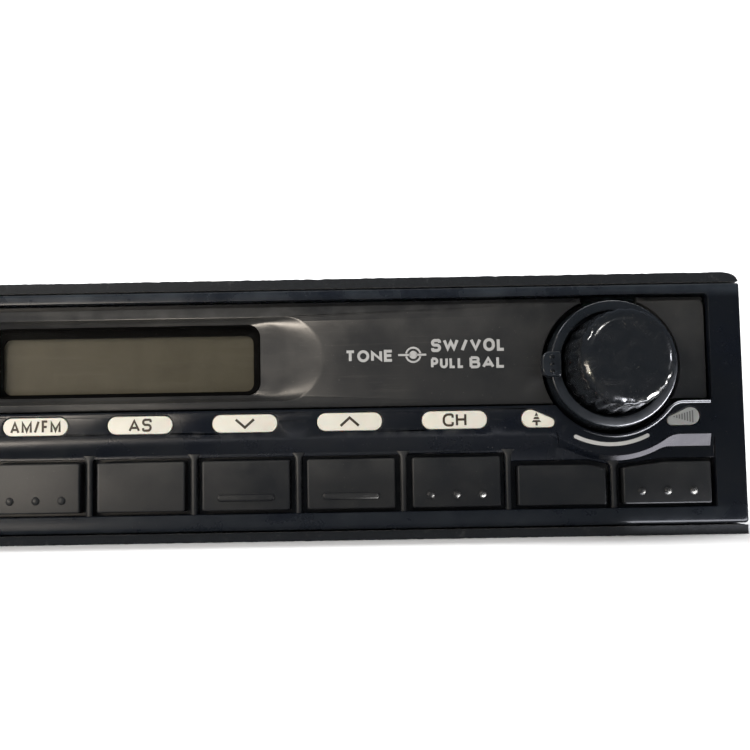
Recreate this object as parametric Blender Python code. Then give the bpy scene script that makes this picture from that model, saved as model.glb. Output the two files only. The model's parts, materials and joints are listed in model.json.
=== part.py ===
"""Car radio, single-DIN size: moulded front, eight push keys, ring and pull knob, steel case.

Lengths below are in millimetres and are scaled to metres as each mesh is made.
X runs to the right of someone facing the radio, Y runs back into the dashboard, Z is up.
Y = 0 is the front plane of the nose frame; the root empty moves the whole radio so that
the middle of its bounding box stands over the world origin.
"""

import math

import bmesh
import bpy
from mathutils import Vector

MM = 0.001

# Nose (front moulding)
NOSE_HALF_W = 89.0
NOSE_Z0 = 2.2
NOSE_Z1 = 49.7
NOSE_DEPTH = 14.0
NOSE_PLATE = 4.0
TOP_R = 0.5
BOTTOM_R = 0.8
FELT_TOP = 52.0
FELT_HALF_W = 88.9
FELT_Y = (0.6, 12.6)
FELT_GAP = 0.3

# Upper opening of the frame, and the fascia panel set back in it
OPEN_HALF_W = 82.6
OPEN_Z0 = 25.9
OPEN_Z1 = 47.7
PANEL_Y = 1.6
PANEL_BACK = 4.6
PANEL_HALF_W = 82.2
PANEL_TOP = 46.6
SHOULDER_Z = 26.5

# Display
SCOOP = (-73.1, 6.4, 27.7, 44.6, 8.44)
SCOOP_DEPTH = 2.4
WINDOW = (-60.0, -6.7, 29.2, 42.7, 2.5)
LCD_VIEW = (-58.4, -8.2, 30.1, 41.4, 1.5)

# Knob group
KNOB_X = 63.2
KNOB_Z = 33.75
WELL_R = 13.8
CUP_R = 15.0
CUP_FLOOR = 9.0
BULGE_R = 17.9
BULGE_FOOT_R = 18.95
KNOB_FRONT = -16.5
KNOB_R = 10.1
KNOB_FLUTES = 24
RING_R = 12.55
RING_FRONT = -2.0
RING_IN_R = 10.5
LUG_X = KNOB_X - 12.4

# Ridge across the front and the key field below it
RIDGE_Z = 19.9
RIDGE_FOOT_Z = 17.45
FIELD_Y = 1.2
FIELD_X0 = -82.0
FIELD_X1 = 82.95
LIP_Z = 5.5
PILL_Z = 23.3
PILL_H = 3.6
PILL_W = 12.9
DROPS = {6: (46.75, 50.5), 7: (78.3, 74.6)}    # middle of the round end, middle of the narrow end

# Keys
KEY_COUNT = 8
KEY_PITCH = 20.7
KEY_ROW_X = 0.8
KEY_HALF_W = 8.65
KEY_Z0 = 6.2
KEY_Z1 = 16.0
SLOT_HALF_W = 9.7
SLOT_Z1 = 16.7
KEY_CORNER = 0.4
DOT_R = 0.82
DOT_PITCH = 5.1
MARK_Z = 8.7

# Case
CASE_Y0 = 14.4
CASE_Y1 = 144.0
CASE_HALF_W = 89.0
CASE_Z0 = 1.0
CASE_Z1 = 51.0
SHEET = 1.0
SINK_Y1 = 156.0
Y_SHIFT = -(KNOB_FRONT + SINK_Y1) / 2

MATERIALS = {
    "abs_black": ((0.018, 0.018, 0.020), 0.0, 0.42),
    "panel_black": ((0.030, 0.030, 0.031), 0.0, 0.38),
    "key_black": ((0.022, 0.022, 0.023), 0.0, 0.40),
    "knob_gloss": ((0.012, 0.012, 0.013), 0.0, 0.16),
    "felt_black": ((0.020, 0.021, 0.023), 0.0, 0.95),
    "legend_white": ((0.85, 0.82, 0.72), 0.0, 0.40),
    "clear_lens": ((0.80, 0.80, 0.76, 0.30), 0.0, 0.08),
    "lcd_olive": ((0.10, 0.095, 0.07), 0.0, 0.25),
    "holder_black": ((0.025, 0.024, 0.023), 0.0, 0.60),
    "diffuser_white": ((0.80, 0.80, 0.78), 0.0, 0.50),
    "zinc_steel": ((0.56, 0.57, 0.58), 1.0, 0.38),
    "aluminium": ((0.62, 0.63, 0.64), 1.0, 0.42),
    "shaft_steel": ((0.60, 0.60, 0.61), 1.0, 0.25),
    "pcb_green": ((0.02, 0.13, 0.05), 0.0, 0.40),
    "part_black": ((0.02, 0.02, 0.02), 0.0, 0.50),
    "connector_ivory": ((0.72, 0.68, 0.56), 0.0, 0.50),
    "lamp_glass": ((0.85, 0.80, 0.65, 0.5), 0.0, 0.10),
    "copper": ((0.75, 0.34, 0.16), 1.0, 0.35),
    "cap_sleeve": ((0.03, 0.05, 0.16), 0.0, 0.35),
}


# ---------------------------------------------------------------- mesh tools

def material(name):
    mat = bpy.data.materials.get(name)
    if mat is None:
        color, metal, rough = MATERIALS[name]
        mat = bpy.data.materials.new(name)
        mat.use_nodes = True
        shader = mat.node_tree.nodes["Principled BSDF"]
        shader.inputs["Base Color"].default_value = (*color[:3], 1.0)
        shader.inputs["Metallic"].default_value = metal
        shader.inputs["Roughness"].default_value = rough
        if len(color) == 4:
            shader.inputs["Alpha"].default_value = color[3]
        mat.diffuse_color = (*color[:3], 1.0)
    return mat


def arc(cx, cz, r, a0, a1, steps):
    """Points on a circle, angles in degrees."""
    turn = [math.radians(a0 + (a1 - a0) * i / steps) for i in range(steps + 1)]
    return [(cx + r * math.cos(a), cz + r * math.sin(a)) for a in turn]


def rounded_rect(x0, x1, z0, z1, radii, steps=4):
    """Outline from the lower left corner, anticlockwise, with one radius or one for each corner."""
    if not isinstance(radii, tuple):
        radii = (radii,) * 4
    corners = ((x0, z0, 1, 1, 180), (x1, z0, -1, 1, 270), (x1, z1, -1, -1, 0), (x0, z1, 1, -1, 90))
    points = []
    for (x, z, sx, sz, a), r in zip(corners, radii):
        points += arc(x + sx * r, z + sz * r, r, a, a + 90, steps)
    return points


def rounded_poly(corners, radius, steps=3):
    """A convex outline with each corner rounded."""
    points = []
    for i, here in enumerate(corners):
        p = Vector(here)
        to_last = (Vector(corners[i - 1]) - p).normalized()
        to_next = (Vector(corners[(i + 1) % len(corners)]) - p).normalized()
        half = to_last.angle(to_next) / 2
        middle = p + (to_last + to_next).normalized() * radius / math.sin(half)
        start = p + to_last * radius / math.tan(half) - middle
        end = p + to_next * radius / math.tan(half) - middle
        for k in range(steps + 1):
            spoke = start.lerp(end, k / steps).normalized() * radius
            points.append(tuple(middle + spoke))
    return points


def loft(bm, rings):
    """Skin between rings of equal length, with flat ends."""
    rows = [[bm.verts.new(p) for p in ring] for ring in rings]
    skin(bm, list(zip(rows, rows[1:])))
    bm.faces.new(rows[0])
    bm.faces.new(rows[-1])


def skin(bm, pairs):
    """Quads between each pair of vertex rings."""
    for a, b in pairs:
        for i in range(len(a)):
            j = (i + 1) % len(a)
            bm.faces.new((a[i], a[j], b[j], b[i]))


def finished(bm):
    bmesh.ops.recalc_face_normals(bm, faces=bm.faces)
    return bm


def prism(outline, low, high, axis="y"):
    """Outline pushed along an axis: (x, z) along y, (x, y) along z, (y, z) along x."""
    bm = bmesh.new()
    place = {
        "y": lambda p, t: (p[0], t, p[1]),
        "z": lambda p, t: (p[0], p[1], t),
        "x": lambda p, t: (t, p[0], p[1]),
    }[axis]
    loft(bm, [[place(p, t) for p in outline] for t in (low, high)])
    return finished(bm)


def block(x0, x1, y0, y1, z0, z1):
    return prism([(x0, z0), (x1, z0), (x1, z1), (x0, z1)], y0, y1)


def stepped(levels):
    """Outlines in XZ of equal length at rising y: a body that narrows or widens in steps."""
    bm = bmesh.new()
    loft(bm, [[(x, y, z) for x, z in outline] for y, outline in levels])
    return finished(bm)


def lathe(profile, segments, axis="y", center=(0.0, 0.0, 0.0), radius_of=None):
    """Profile of (radius, height) turned about an axis. A profile that starts and ends on the
    axis makes a solid, and a closed loop off the axis makes a ring."""
    bm = bmesh.new()
    radius_of = radius_of or (lambda r, h, a: r)
    solid = profile[0][0] == 0.0

    def place(r, h, k):
        a = 2 * math.pi * k / segments
        r = radius_of(r, h, a)
        u, v = r * math.cos(a), r * math.sin(a)
        p = (u, h, v) if axis == "y" else (u, v, h)
        return Vector(p) + Vector(center)

    middle = profile[1:-1] if solid else profile
    rows = [[bm.verts.new(place(r, h, k)) for k in range(segments)] for r, h in middle]
    skin(bm, list(zip(rows, rows[1:])) if solid else list(zip(rows, rows[1:] + rows[:1])))
    if solid:
        ends = ((profile[0], profile[1], rows[0]), (profile[-1], profile[-2], rows[-1]))
        for (_, h), (_, edge_h), row in ends:
            if h == edge_h:
                bm.faces.new(row)
                continue
            pole = bm.verts.new(place(0.0, h, 0))
            for i in range(segments):
                bm.faces.new((row[i], row[(i + 1) % segments], pole))
    return finished(bm)


def rod(r, low, high, segments=32, axis="y", center=(0.0, 0.0, 0.0), chamfer=0.0):
    profile = [(0.0, low), (r, low), (r, high), (0.0, high)]
    if chamfer:
        profile[1:3] = [(r - chamfer, low), (r, low + chamfer), (r, high - chamfer), (r - chamfer, high)]
    return lathe(profile, segments, axis, center)


def tube(r_in, r_out, low, high, segments=32, axis="y", center=(0.0, 0.0, 0.0)):
    profile = [(r_in, low), (r_out, low), (r_out, high), (r_in, high)]
    return lathe(profile, segments, axis, center)


def soften(bm, width, segments=2, pick=None):
    """Rounds the sharp edges that pick accepts."""
    edges = [
        e for e in bm.edges
        if len(e.link_faces) == 2
        and e.calc_face_angle(0.0) > math.radians(40)
        and (pick is None or pick(e))
    ]
    bmesh.ops.bevel(
        bm, geom=edges, offset=width, segments=segments, profile=0.6, affect="EDGES", clamp_overlap=True)
    return finished(bm)


def at_y(y):
    return lambda e: all(abs(v.co.y - y) < 1e-4 for v in e.verts)


def as_mesh(name, bm, origin):
    bmesh.ops.translate(bm, verts=bm.verts, vec=-Vector(origin))
    bmesh.ops.scale(bm, verts=bm.verts, vec=(MM, MM, MM))
    mesh = bpy.data.meshes.new(name)
    bm.to_mesh(mesh)
    bm.free()
    return mesh


def node(name, bm, mat, origin=(0.0, 0.0, 0.0), smooth=0.0, parent=None):
    """One sub-part. origin is where its own axis crosses, in the radio's millimetres."""
    obj = bpy.data.objects.new(name, as_mesh(name, bm, origin))
    obj.data.materials.append(material(mat))
    if smooth:
        obj.data.polygons.foreach_set("use_smooth", [True] * len(obj.data.polygons))
        obj.data.set_sharp_from_angle(angle=math.radians(smooth))
    bpy.context.scene.collection.objects.link(obj)
    obj.parent = parent or root
    base = Vector(parent["origin_mm"]) if parent else Vector((0.0, 0.0, 0.0))
    obj.location = (Vector(origin) - base) * MM
    obj["origin_mm"] = tuple(origin)
    return obj


def boolean(obj, label, bm, operation="DIFFERENCE"):
    """Adds a Boolean whose helper mesh rides with the piece it shapes."""
    name = f"{obj.name}_{label}"
    helper = bpy.data.objects.new(name, as_mesh(name, bm, obj["origin_mm"]))
    helpers.objects.link(helper)
    helper.parent = obj
    helper.hide_render = True
    helper.display_type = "WIRE"
    modifier = obj.modifiers.new(label, "BOOLEAN")
    modifier.operation = operation
    modifier.solver = "EXACT"
    modifier.object = helper


def joined(*parts):
    """Several separate closed bodies as one helper mesh."""
    whole = bmesh.new()
    for part in parts:
        mesh = bpy.data.meshes.new("part")
        part.to_mesh(mesh)
        part.free()
        whole.from_mesh(mesh)
        bpy.data.meshes.remove(mesh)
    return whole


# ---------------------------------------------------------------- start clean

for old in list(bpy.data.objects):
    bpy.data.objects.remove(old)

helpers = bpy.data.collections.new("boolean_helpers")
bpy.context.scene.collection.children.link(helpers)

root = bpy.data.objects.new("radio", None)
root.location = (0.0, Y_SHIFT * MM, 0.0)
bpy.context.scene.collection.objects.link(root)


# ---------------------------------------------------------------- shared outlines

def key_x(i):
    return KEY_ROW_X + (i - (KEY_COUNT - 1) / 2) * KEY_PITCH


def ridge_line(x, z, r, fillet):
    """Height of a level edge at z that dips round the knob on radius r, blended by a fillet."""
    dx = abs(x - KNOB_X)
    drop = KNOB_Z - z
    centre_z = z - fillet
    reach = math.sqrt((r + fillet) ** 2 - (KNOB_Z - centre_z) ** 2)
    touch = reach * r / (r + fillet)
    if dx >= reach or drop > r:
        return z
    if dx <= touch:
        return KNOB_Z - math.sqrt(r * r - dx * dx)
    return centre_z + math.sqrt(fillet * fillet - (reach - dx) ** 2)


def field_cutter():
    """The set-back field under the ridge: sloping top wall, flat back at FIELD_Y."""
    xs = [FIELD_X0, 20.0, 44.0]
    xs += [KNOB_X + 17.0 * math.sin(math.radians(a)) for a in range(-84, 85, 7)]
    xs += [FIELD_X1]
    bm = bmesh.new()
    rings = []
    for x in xs:
        front = ridge_line(x, RIDGE_Z, BULGE_R, 5.0)
        back = ridge_line(x, RIDGE_FOOT_Z, BULGE_FOOT_R, 5.0)
        rise = (front - back) / FIELD_Y
        rings.append([(x, -1.0, LIP_Z), (x, FIELD_Y, LIP_Z), (x, FIELD_Y, back), (x, -1.0, front + rise)])
    loft(bm, rings)
    return finished(bm)


def slot_outline(i):
    x = key_x(i)
    left, right = x - SLOT_HALF_W, x + SLOT_HALF_W
    if i == KEY_COUNT - 2:
        return [(left, LIP_Z), (right, LIP_Z), (right, 14.1), (x + 5.5, 15.0), (left, 15.0)]
    if i == KEY_COUNT - 1:
        return [(left, LIP_Z), (right, LIP_Z), (right, 15.1), (x - 0.3, 15.1), (left, 14.1)]
    return [(left, LIP_Z), (right, LIP_Z), (right, SLOT_Z1), (left, SLOT_Z1)]


def key_outline(i):
    x = key_x(i)
    left, right = x - KEY_HALF_W, x + KEY_HALF_W
    if i == KEY_COUNT - 2:
        return [(left, KEY_Z0), (right, KEY_Z0), (right, 13.3), (x + 5.3, 14.1), (left, 14.1)]
    if i == KEY_COUNT - 1:
        return [(left, KEY_Z0), (right, KEY_Z0), (right, 14.4), (x - 0.3, 14.4), (left, 13.4)]
    return [(left, KEY_Z0), (right, KEY_Z0), (right, KEY_Z1), (left, KEY_Z1)]


def drop_outline(big, small):
    """Outline round two circles (x, z, r) of unequal size."""
    reach = Vector(small[:2]) - Vector(big[:2])
    aim = math.degrees(math.atan2(reach.y, reach.x))
    lean = math.degrees(math.acos((big[2] - small[2]) / reach.length))
    return arc(*big, aim + lean, aim + 360 - lean, 8) + arc(*small, aim - lean, aim + lean, 5)


def pill_outline(i, grow=0.0):
    """Label window over key i: round-ended, or drop-shaped where the knob leaves little room."""
    if i in DROPS:
        big_x, small_x = DROPS[i]
        big_r, small_r = PILL_H / 2, PILL_H / 2 - 0.8
        return drop_outline((big_x, PILL_Z, big_r + grow), (small_x, PILL_Z - 0.8, small_r + grow))
    x = key_x(i) - 0.1
    half = PILL_W / 2 + grow
    low, high = PILL_Z - PILL_H / 2 - grow, PILL_Z + PILL_H / 2 + grow
    return rounded_rect(x - half, x + half, low, high, PILL_H / 2 - 0.05 + grow, 5)


# ---------------------------------------------------------------- nose

def outer_outline(inset=0.0):
    return rounded_rect(
        -NOSE_HALF_W + inset, NOSE_HALF_W - inset, NOSE_Z0 + inset, NOSE_Z1 - inset,
        (BOTTOM_R, BOTTOM_R, TOP_R, TOP_R), 5)


NOSE_LEVELS = ((0.0, 0.4), (0.12, 0.12), (0.4, 0.0), (NOSE_DEPTH, 0.0))     # y, inset
bezel = node("front_bezel", stepped([(y, outer_outline(inset)) for y, inset in NOSE_LEVELS]), "abs_black")
boolean(bezel, "cavity", block(-86.8, 86.8, NOSE_PLATE, 20.0, 4.2, 47.9))

well_end = math.degrees(math.asin((KNOB_Z - OPEN_Z0) / WELL_R))
shoulder = 4.0
shoulder_dx = math.sqrt((WELL_R + shoulder) ** 2 - (KNOB_Z - (SHOULDER_Z - shoulder)) ** 2)
shoulder_turn = math.degrees(math.atan2(SHOULDER_Z - shoulder - KNOB_Z, shoulder_dx))
opening = [(-OPEN_HALF_W, OPEN_Z0)]
opening += arc(KNOB_X, KNOB_Z, WELL_R, 180 + well_end, 360 + shoulder_turn, 28)
opening += arc(KNOB_X + shoulder_dx, SHOULDER_Z - shoulder, shoulder, 180 + shoulder_turn, 90, 6)[1:]
opening += [(OPEN_HALF_W, SHOULDER_Z), (OPEN_HALF_W, OPEN_Z1), (-OPEN_HALF_W, OPEN_Z1)]
boolean(bezel, "panel_opening", prism(opening, -1.0, 5.0))
boolean(bezel, "key_field", field_cutter())
boolean(bezel, "key_slots", joined(*(prism(slot_outline(i), 1.0, 5.0) for i in range(KEY_COUNT))))
windows = [prism(pill_outline(i, 0.12), -1.0, 5.0) for i in range(KEY_COUNT)]
boolean(bezel, "label_windows", joined(*windows))
catches = [block(x - 3.0, x + 3.0, 8.5, 11.5, z - 4.0, z + 4.0) for x in (-88.0, 88.0) for z in (15.0, 37.0)]
boolean(bezel, "side_catches", joined(*catches))


def felt_top_outline():
    """Flat below, with ends that follow the curve of the frame's upper corners."""
    low, wide, tall = NOSE_Z1 + FELT_GAP, 3.7, FELT_TOP - NOSE_Z1 - FELT_GAP
    turn = [math.radians(15 * k) for k in range(7)]
    right = [(FELT_HALF_W - wide + wide * math.cos(a), low + tall * math.sin(a)) for a in turn]
    return [(-FELT_HALF_W, low)] + right + [(-x, z) for x, z in right[:0:-1]]


node("felt_top", prism(felt_top_outline(), *FELT_Y), "felt_black")
felt_bottom = block(-FELT_HALF_W, FELT_HALF_W, *FELT_Y, 0.0, NOSE_Z0 - FELT_GAP)
node("felt_bottom", soften(felt_bottom, 0.4), "felt_black")

# Fascia panel: plate with a dished display surround and a cup for the knob
rim = rounded_rect(-PANEL_HALF_W, PANEL_HALF_W, OPEN_Z0 + 0.3, OPEN_Z1 - 0.3, 0.5, 2)
face_half_w = PANEL_HALF_W - 0.15
face = rounded_rect(-face_half_w, face_half_w, OPEN_Z0 + 0.42, PANEL_TOP, (0.5, 0.5, 1.4, 1.4), 2)
panel = node(
    "fascia_panel",
    stepped([(PANEL_Y, face), (2.9, face), (2.9, rim), (PANEL_BACK, rim)]),
    "panel_black")
cup_at = (KNOB_X, 0.0, KNOB_Z)
boolean(panel, "knob_cup", rod(CUP_R, 2.1, 10.2, 64, center=cup_at), "UNION")
boolean(panel, "knob_well", rod(WELL_R, 0.0, CUP_FLOOR, 72, center=cup_at))
boolean(panel, "cup_crown", block(KNOB_X - 17.0, KNOB_X + 17.0, 1.0, 12.0, OPEN_Z1 - 0.25, 50.0))
boolean(panel, "shaft_hole", rod(6.2, 8.0, 12.0, 40, center=cup_at))
boolean(panel, "well_top", block(KNOB_X - 5.6, KNOB_X + 5.6, 1.0, 6.0, 43.0, 48.0))
boolean(panel, "cup_top", block(KNOB_X - 17.0, KNOB_X + 17.0, PANEL_BACK - 0.3, 12.0, 46.9, 50.0))
relief = [(KNOB_X - 20.0, 15.0), (OPEN_HALF_W + 1.0, 15.0), (OPEN_HALF_W + 1.0, SHOULDER_Z + 0.4),
          (KNOB_X, SHOULDER_Z + 0.4), (KNOB_X, OPEN_Z0 + 0.25), (KNOB_X - 20.0, OPEN_Z0 + 0.25)]
boolean(panel, "ridge_relief", prism(relief, 0.5, NOSE_PLATE + 1.1))


def dish_level(t):
    """Outline part-way from the dish's rim (t = 0) to the display window (t = 1)."""
    outer = rounded_rect(*SCOOP[:4], SCOOP[4], 8)
    inner = rounded_rect(*WINDOW[:4], WINDOW[4], 8)
    depth = PANEL_Y + SCOOP_DEPTH * (1 - (1 - t) ** 1.7)
    return depth, [(a + (c - a) * t, b + (d - b) * t) for (a, b), (c, d) in zip(outer, inner)]


levels = [(PANEL_Y - 0.6, dish_level(0.0)[1])]
levels += [dish_level(t) for t in (0.0, 0.2, 0.45, 0.7, 1.0)]
levels += [(PANEL_BACK + 1.0, dish_level(1.0)[1])]
boolean(panel, "display_dish", stepped(levels))

# Display stack
node("display_lens", soften(block(-62.0, -4.7, 4.9, 6.1, 27.2, 44.7), 0.3, 1), "clear_lens")
view = rounded_rect(*LCD_VIEW[:4], LCD_VIEW[4], 4)
holder = node("lcd_holder", block(-66.0, -0.6, 6.4, 12.0, 26.6, 45.4), "holder_black")
boolean(holder, "view", prism(view, 5.0, 8.0))
boolean(holder, "pocket", block(-64.6, -2.0, 7.1, 13.0, 28.0, 44.0))
node("lcd_glass", block(-64.2, -2.4, 7.4, 9.6, 28.4, 43.6), "lcd_olive")
node("backlight_guide", block(-64.2, -2.4, 9.9, 11.8, 28.4, 43.6), "diffuser_white")
lamp = [(0.0, 6.2), (1.2, 6.5), (1.9, 7.4), (1.9, 9.6), (2.3, 9.9), (2.3, 12.1), (0.0, 12.1)]
for side, x in (("left", -70.0), ("right", 3.4)):
    node(f"lamp_{side}", lathe(lamp, 14, center=(x, 0.0, 36.0)), "lamp_glass", smooth=35)

# Label light guides: bars behind the ridge with windows standing out of them
bar_y = NOSE_PLATE + 0.3
guide = node("label_guide_left", block(-78.6, 43.6, bar_y, 6.1, 20.8, 25.8), "legend_white")
pills = [prism(pill_outline(i), 0.1, bar_y + 0.4) for i in range(KEY_COUNT - 2)]
boolean(guide, "windows", joined(*pills), "UNION")
boolean(guide, "drop_arm", block(43.0, 51.2, bar_y + 0.05, 6.0, 20.9, 23.0), "UNION")
boolean(guide, "drop_window", prism(pill_outline(KEY_COUNT - 2), 0.1, bar_y + 0.5), "UNION")
right_bar = [(75.0, 20.6), (82.0, 20.6), (82.0, 25.7), (78.6, 25.7), (75.0, 21.9)]
guide_right = node("label_guide_right", prism(right_bar, bar_y, 6.1), "legend_white")
boolean(guide_right, "window", prism(pill_outline(KEY_COUNT - 1), 0.1, bar_y + 0.4), "UNION")


# ---------------------------------------------------------------- keys

KEY_NAMES = ("key_1", "key_2", "key_3", "key_down", "key_up", "key_6", "key_7", "key_8")
DOT_KEYS = (1, 5, 7)
BAR_KEYS = (3, 4)
STEM_Z = 11.0


def key_mark(i):
    """Feelable marks that stand out of the key: three domes, or one rounded bar."""
    x = key_x(i)
    if i in DOT_KEYS:
        dome = [(0.0, -0.45), (0.45, -0.36), (0.75, -0.1), (DOT_R, 0.4), (0.0, 0.4)]
        return [lathe(dome, 10, center=(x + d, 0.0, MARK_Z)) for d in (-DOT_PITCH, 0.0, DOT_PITCH)]
    if i in BAR_KEYS:
        outline = rounded_rect(x - 5.6, x + 5.6, MARK_Z - 0.7, MARK_Z + 0.7, 0.65, 4)
        return [soften(prism(outline, -0.4, 0.4), 0.2, 1, at_y(-0.4))]
    return []


for i, name in enumerate(KEY_NAMES):
    x = key_x(i)
    front = rounded_poly(key_outline(i), KEY_CORNER, 3)
    cap = soften(prism(front, 0.0, NOSE_PLATE + 0.6), 0.35, 2, at_y(0.0))
    key = node(name, cap, "key_black", origin=(x, 0.0, STEM_Z))
    top = max(z for _, z in key_outline(i)) + 1.2
    flange = [(x - 9.95, 4.6), (x + 9.95, 4.6), (x + 9.95, top), (x - 9.95, top)]
    stem_low, stem_high = STEM_Z - 2.0, STEM_Z + 2.0
    stem = [(x - 2.0, stem_low), (x + 2.0, stem_low), (x + 2.0, stem_high), (x - 2.0, stem_high)]
    rear = stepped([(bar_y, flange), (bar_y + 1.0, flange), (bar_y + 1.0, stem), (bar_y + 2.3, stem)])
    boolean(key, "flange", joined(rear, *key_mark(i)), "UNION")
    switch_body = block(x - 3.0, x + 3.0, 8.7, 12.1, STEM_Z - 3.0, STEM_Z + 3.0)
    switch = node(f"switch_{i + 1}", switch_body, "part_black")
    boolean(switch, "plunger", rod(1.6, 7.9, 9.0, 12, center=(x, 0.0, STEM_Z)), "UNION")


# ---------------------------------------------------------------- knob group

axis_at = (KNOB_X, 0.0, KNOB_Z)


def fluted(r, h, a):
    """Shallow scallops round the flank that die out at the round front rim and at the skirt."""
    if r < 7.8 or h > 3.0:
        return r
    fade = min(1.0, max(0.0, (h - KNOB_FRONT - 0.6) / 2.0)) * min(1.0, max(0.0, (1.2 - h) / 2.0))
    return r - 0.16 * fade * (1 + math.cos(KNOB_FLUTES * a))


knob_profile = [
    (0.0, KNOB_FRONT), (6.6, KNOB_FRONT), (7.9, KNOB_FRONT + 0.4), (8.8, KNOB_FRONT + 1.2),
    (9.25, KNOB_FRONT + 2.5), (9.8, -6.0), (9.98, -1.6), (KNOB_R, 1.4), (KNOB_R, 3.5),
    (9.0, 3.5), (7.7, -12.2), (4.6, -12.6), (4.6, 2.6), (0.0, 2.6)]
knob = node(
    "volume_knob", lathe(knob_profile, 72, center=axis_at, radius_of=fluted), "knob_gloss",
    origin=axis_at, smooth=35)
boolean(knob, "shaft_hole", rod(3.1, -9.0, 4.0, 24, center=axis_at))

ring_profile = [
    (4.4, 5.3), (RING_IN_R, 5.3), (RING_IN_R, -1.7), (RING_IN_R + 0.25, RING_FRONT),
    (RING_R - 0.25, RING_FRONT), (RING_R, -1.7), (RING_R + 0.55, 6.4), (4.4, 6.4)]
ring = node("tone_ring", lathe(ring_profile, 48, center=axis_at), "abs_black", origin=axis_at, smooth=35)
lug = rounded_rect(LUG_X - 1.9, LUG_X + 1.95, KNOB_Z - 2.5, KNOB_Z + 2.5, (1.6, 0.5, 0.5, 1.6), 4)
boolean(ring, "lug", soften(prism(lug, -3.4, -0.8), 0.4, 2, at_y(-3.4)), "UNION")
bump = [(0.0, -3.75), (0.3, -3.65), (0.45, -3.3), (0.45, -3.0), (0.0, -3.0)]
bumps = [lathe(bump, 10, center=(LUG_X, 0.0, KNOB_Z + d)) for d in (-1.4, 0.0, 1.4)]
boolean(ring, "bumps", joined(*bumps), "UNION")

inner = rod(2.8, -8.6, 33.4, 20, center=axis_at, chamfer=0.3)
node("inner_shaft", inner, "shaft_steel", origin=axis_at, smooth=35)
outer = tube(3.2, 4.1, 3.8, 20.0, 24, center=axis_at)
node("outer_shaft", outer, "shaft_steel", origin=axis_at, smooth=35)
nut = node("pot_nut", prism(arc(KNOB_X, KNOB_Z, 8.1, 0, 300, 5), 7.1, 8.7), "zinc_steel")
boolean(nut, "thread", rod(5.5, 6.0, 10.0, 24, center=axis_at))
pot_body = block(KNOB_X - 10.0, KNOB_X + 10.0, 14.4, 30.0, KNOB_Z - 10.0, KNOB_Z + 10.0)
pot = node("dual_potentiometer", soften(pot_body, 0.5, 1), "zinc_steel")
boolean(pot, "bushing", rod(5.2, 6.8, 16.0, 24, center=axis_at), "UNION")
rails = [block(x - 0.6, x + 0.6, 29.0, 40.0, KNOB_Z - 4.0, KNOB_Z + 4.0)
         for x in (KNOB_X - 5.4, KNOB_X + 5.4)]
boolean(pot, "rails", joined(*rails), "UNION")
shaft_way = [(0.0, 5.0), (4.4, 5.0), (4.4, 21.0), (3.1, 21.0), (3.1, 31.0), (0.0, 31.0)]
boolean(pot, "shaft_way", lathe(shaft_way, 24, center=axis_at))
slider = block(KNOB_X - 4.3, KNOB_X + 4.3, 33.8, 37.0, KNOB_Z - 3.6, KNOB_Z + 3.6)
node("pull_slider", soften(slider, 0.4, 1), "connector_ivory", origin=(KNOB_X, 33.8, KNOB_Z))


# ---------------------------------------------------------------- boards and parts inside

front_board = node("front_board", block(-84.0, 84.0, 12.4, 14.0, 5.4, 46.4), "pcb_green")
boolean(front_board, "holes", joined(rod(5.8, 11.0, 15.0, 24, center=axis_at), *(
    rod(1.6, 11.0, 15.0, 12, center=(x, 0.0, z)) for x in (-80.5, 80.5) for z in (9.0, 43.0))))
main_board = node("main_board", block(-84.0, 84.0, 18.0, 136.0, 8.0, 9.6), "pcb_green")
boolean(main_board, "holes", joined(*(
    rod(1.7, 7.0, 11.0, 12, "z", (x, y, 0.0)) for x in (-80.0, 80.0) for y in (24.0, 128.0))))
node("board_connector", soften(block(-24.0, 18.0, 14.4, 24.0, 9.9, 17.0), 0.4, 1), "connector_ivory")
tuner = node("tuner_can", soften(block(-80.0, -42.0, 92.0, 132.0, 9.9, 30.0), 0.6, 1), "zinc_steel")
boolean(tuner, "trim_holes", joined(*(rod(2.0, 28.0, 31.0, 14, "z", (-61.0 + dx, 112.0 + dy, 0.0))
                                      for dx, dy in ((-9.0, -8.0), (9.0, -8.0), (0.0, 9.0)))))
node("power_amp_chip", soften(block(30.0, 58.0, 137.2, 142.6, 11.0, 34.0), 0.4, 1), "part_black")
for i, (x, y, r, h) in enumerate(((2.0, 112.0, 8.0, 26.0), (22.0, 116.0, 6.3, 20.0))):
    can = [(0.0, 9.9), (r - 0.4, 9.9), (r, 10.4), (r, 11.6), (r - 0.5, 12.2), (r, 12.8),
           (r, 9.5 + h), (r - 0.5, 10.0 + h), (0.0, 10.0 + h)]
    node(f"capacitor_{i + 1}", lathe(can, 20, "z", (x, y, 0.0)), "cap_sleeve", smooth=35)
coil = arc(9.0, 14.4, 4.2, 0, 315, 7)
node("choke_coil", lathe(coil, 24, "z", (-22.0, 116.0, 0.0)), "copper", smooth=60)
converter = node("converter_coil", soften(block(28.0, 54.0, 84.0, 108.0, 9.9, 32.0), 0.6, 1), "part_black")
boolean(converter, "winding", joined(rod(11.2, 16.0, 26.0, 32, "z", (41.0, 96.0, 0.0))), "UNION")


# ---------------------------------------------------------------- case

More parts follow.
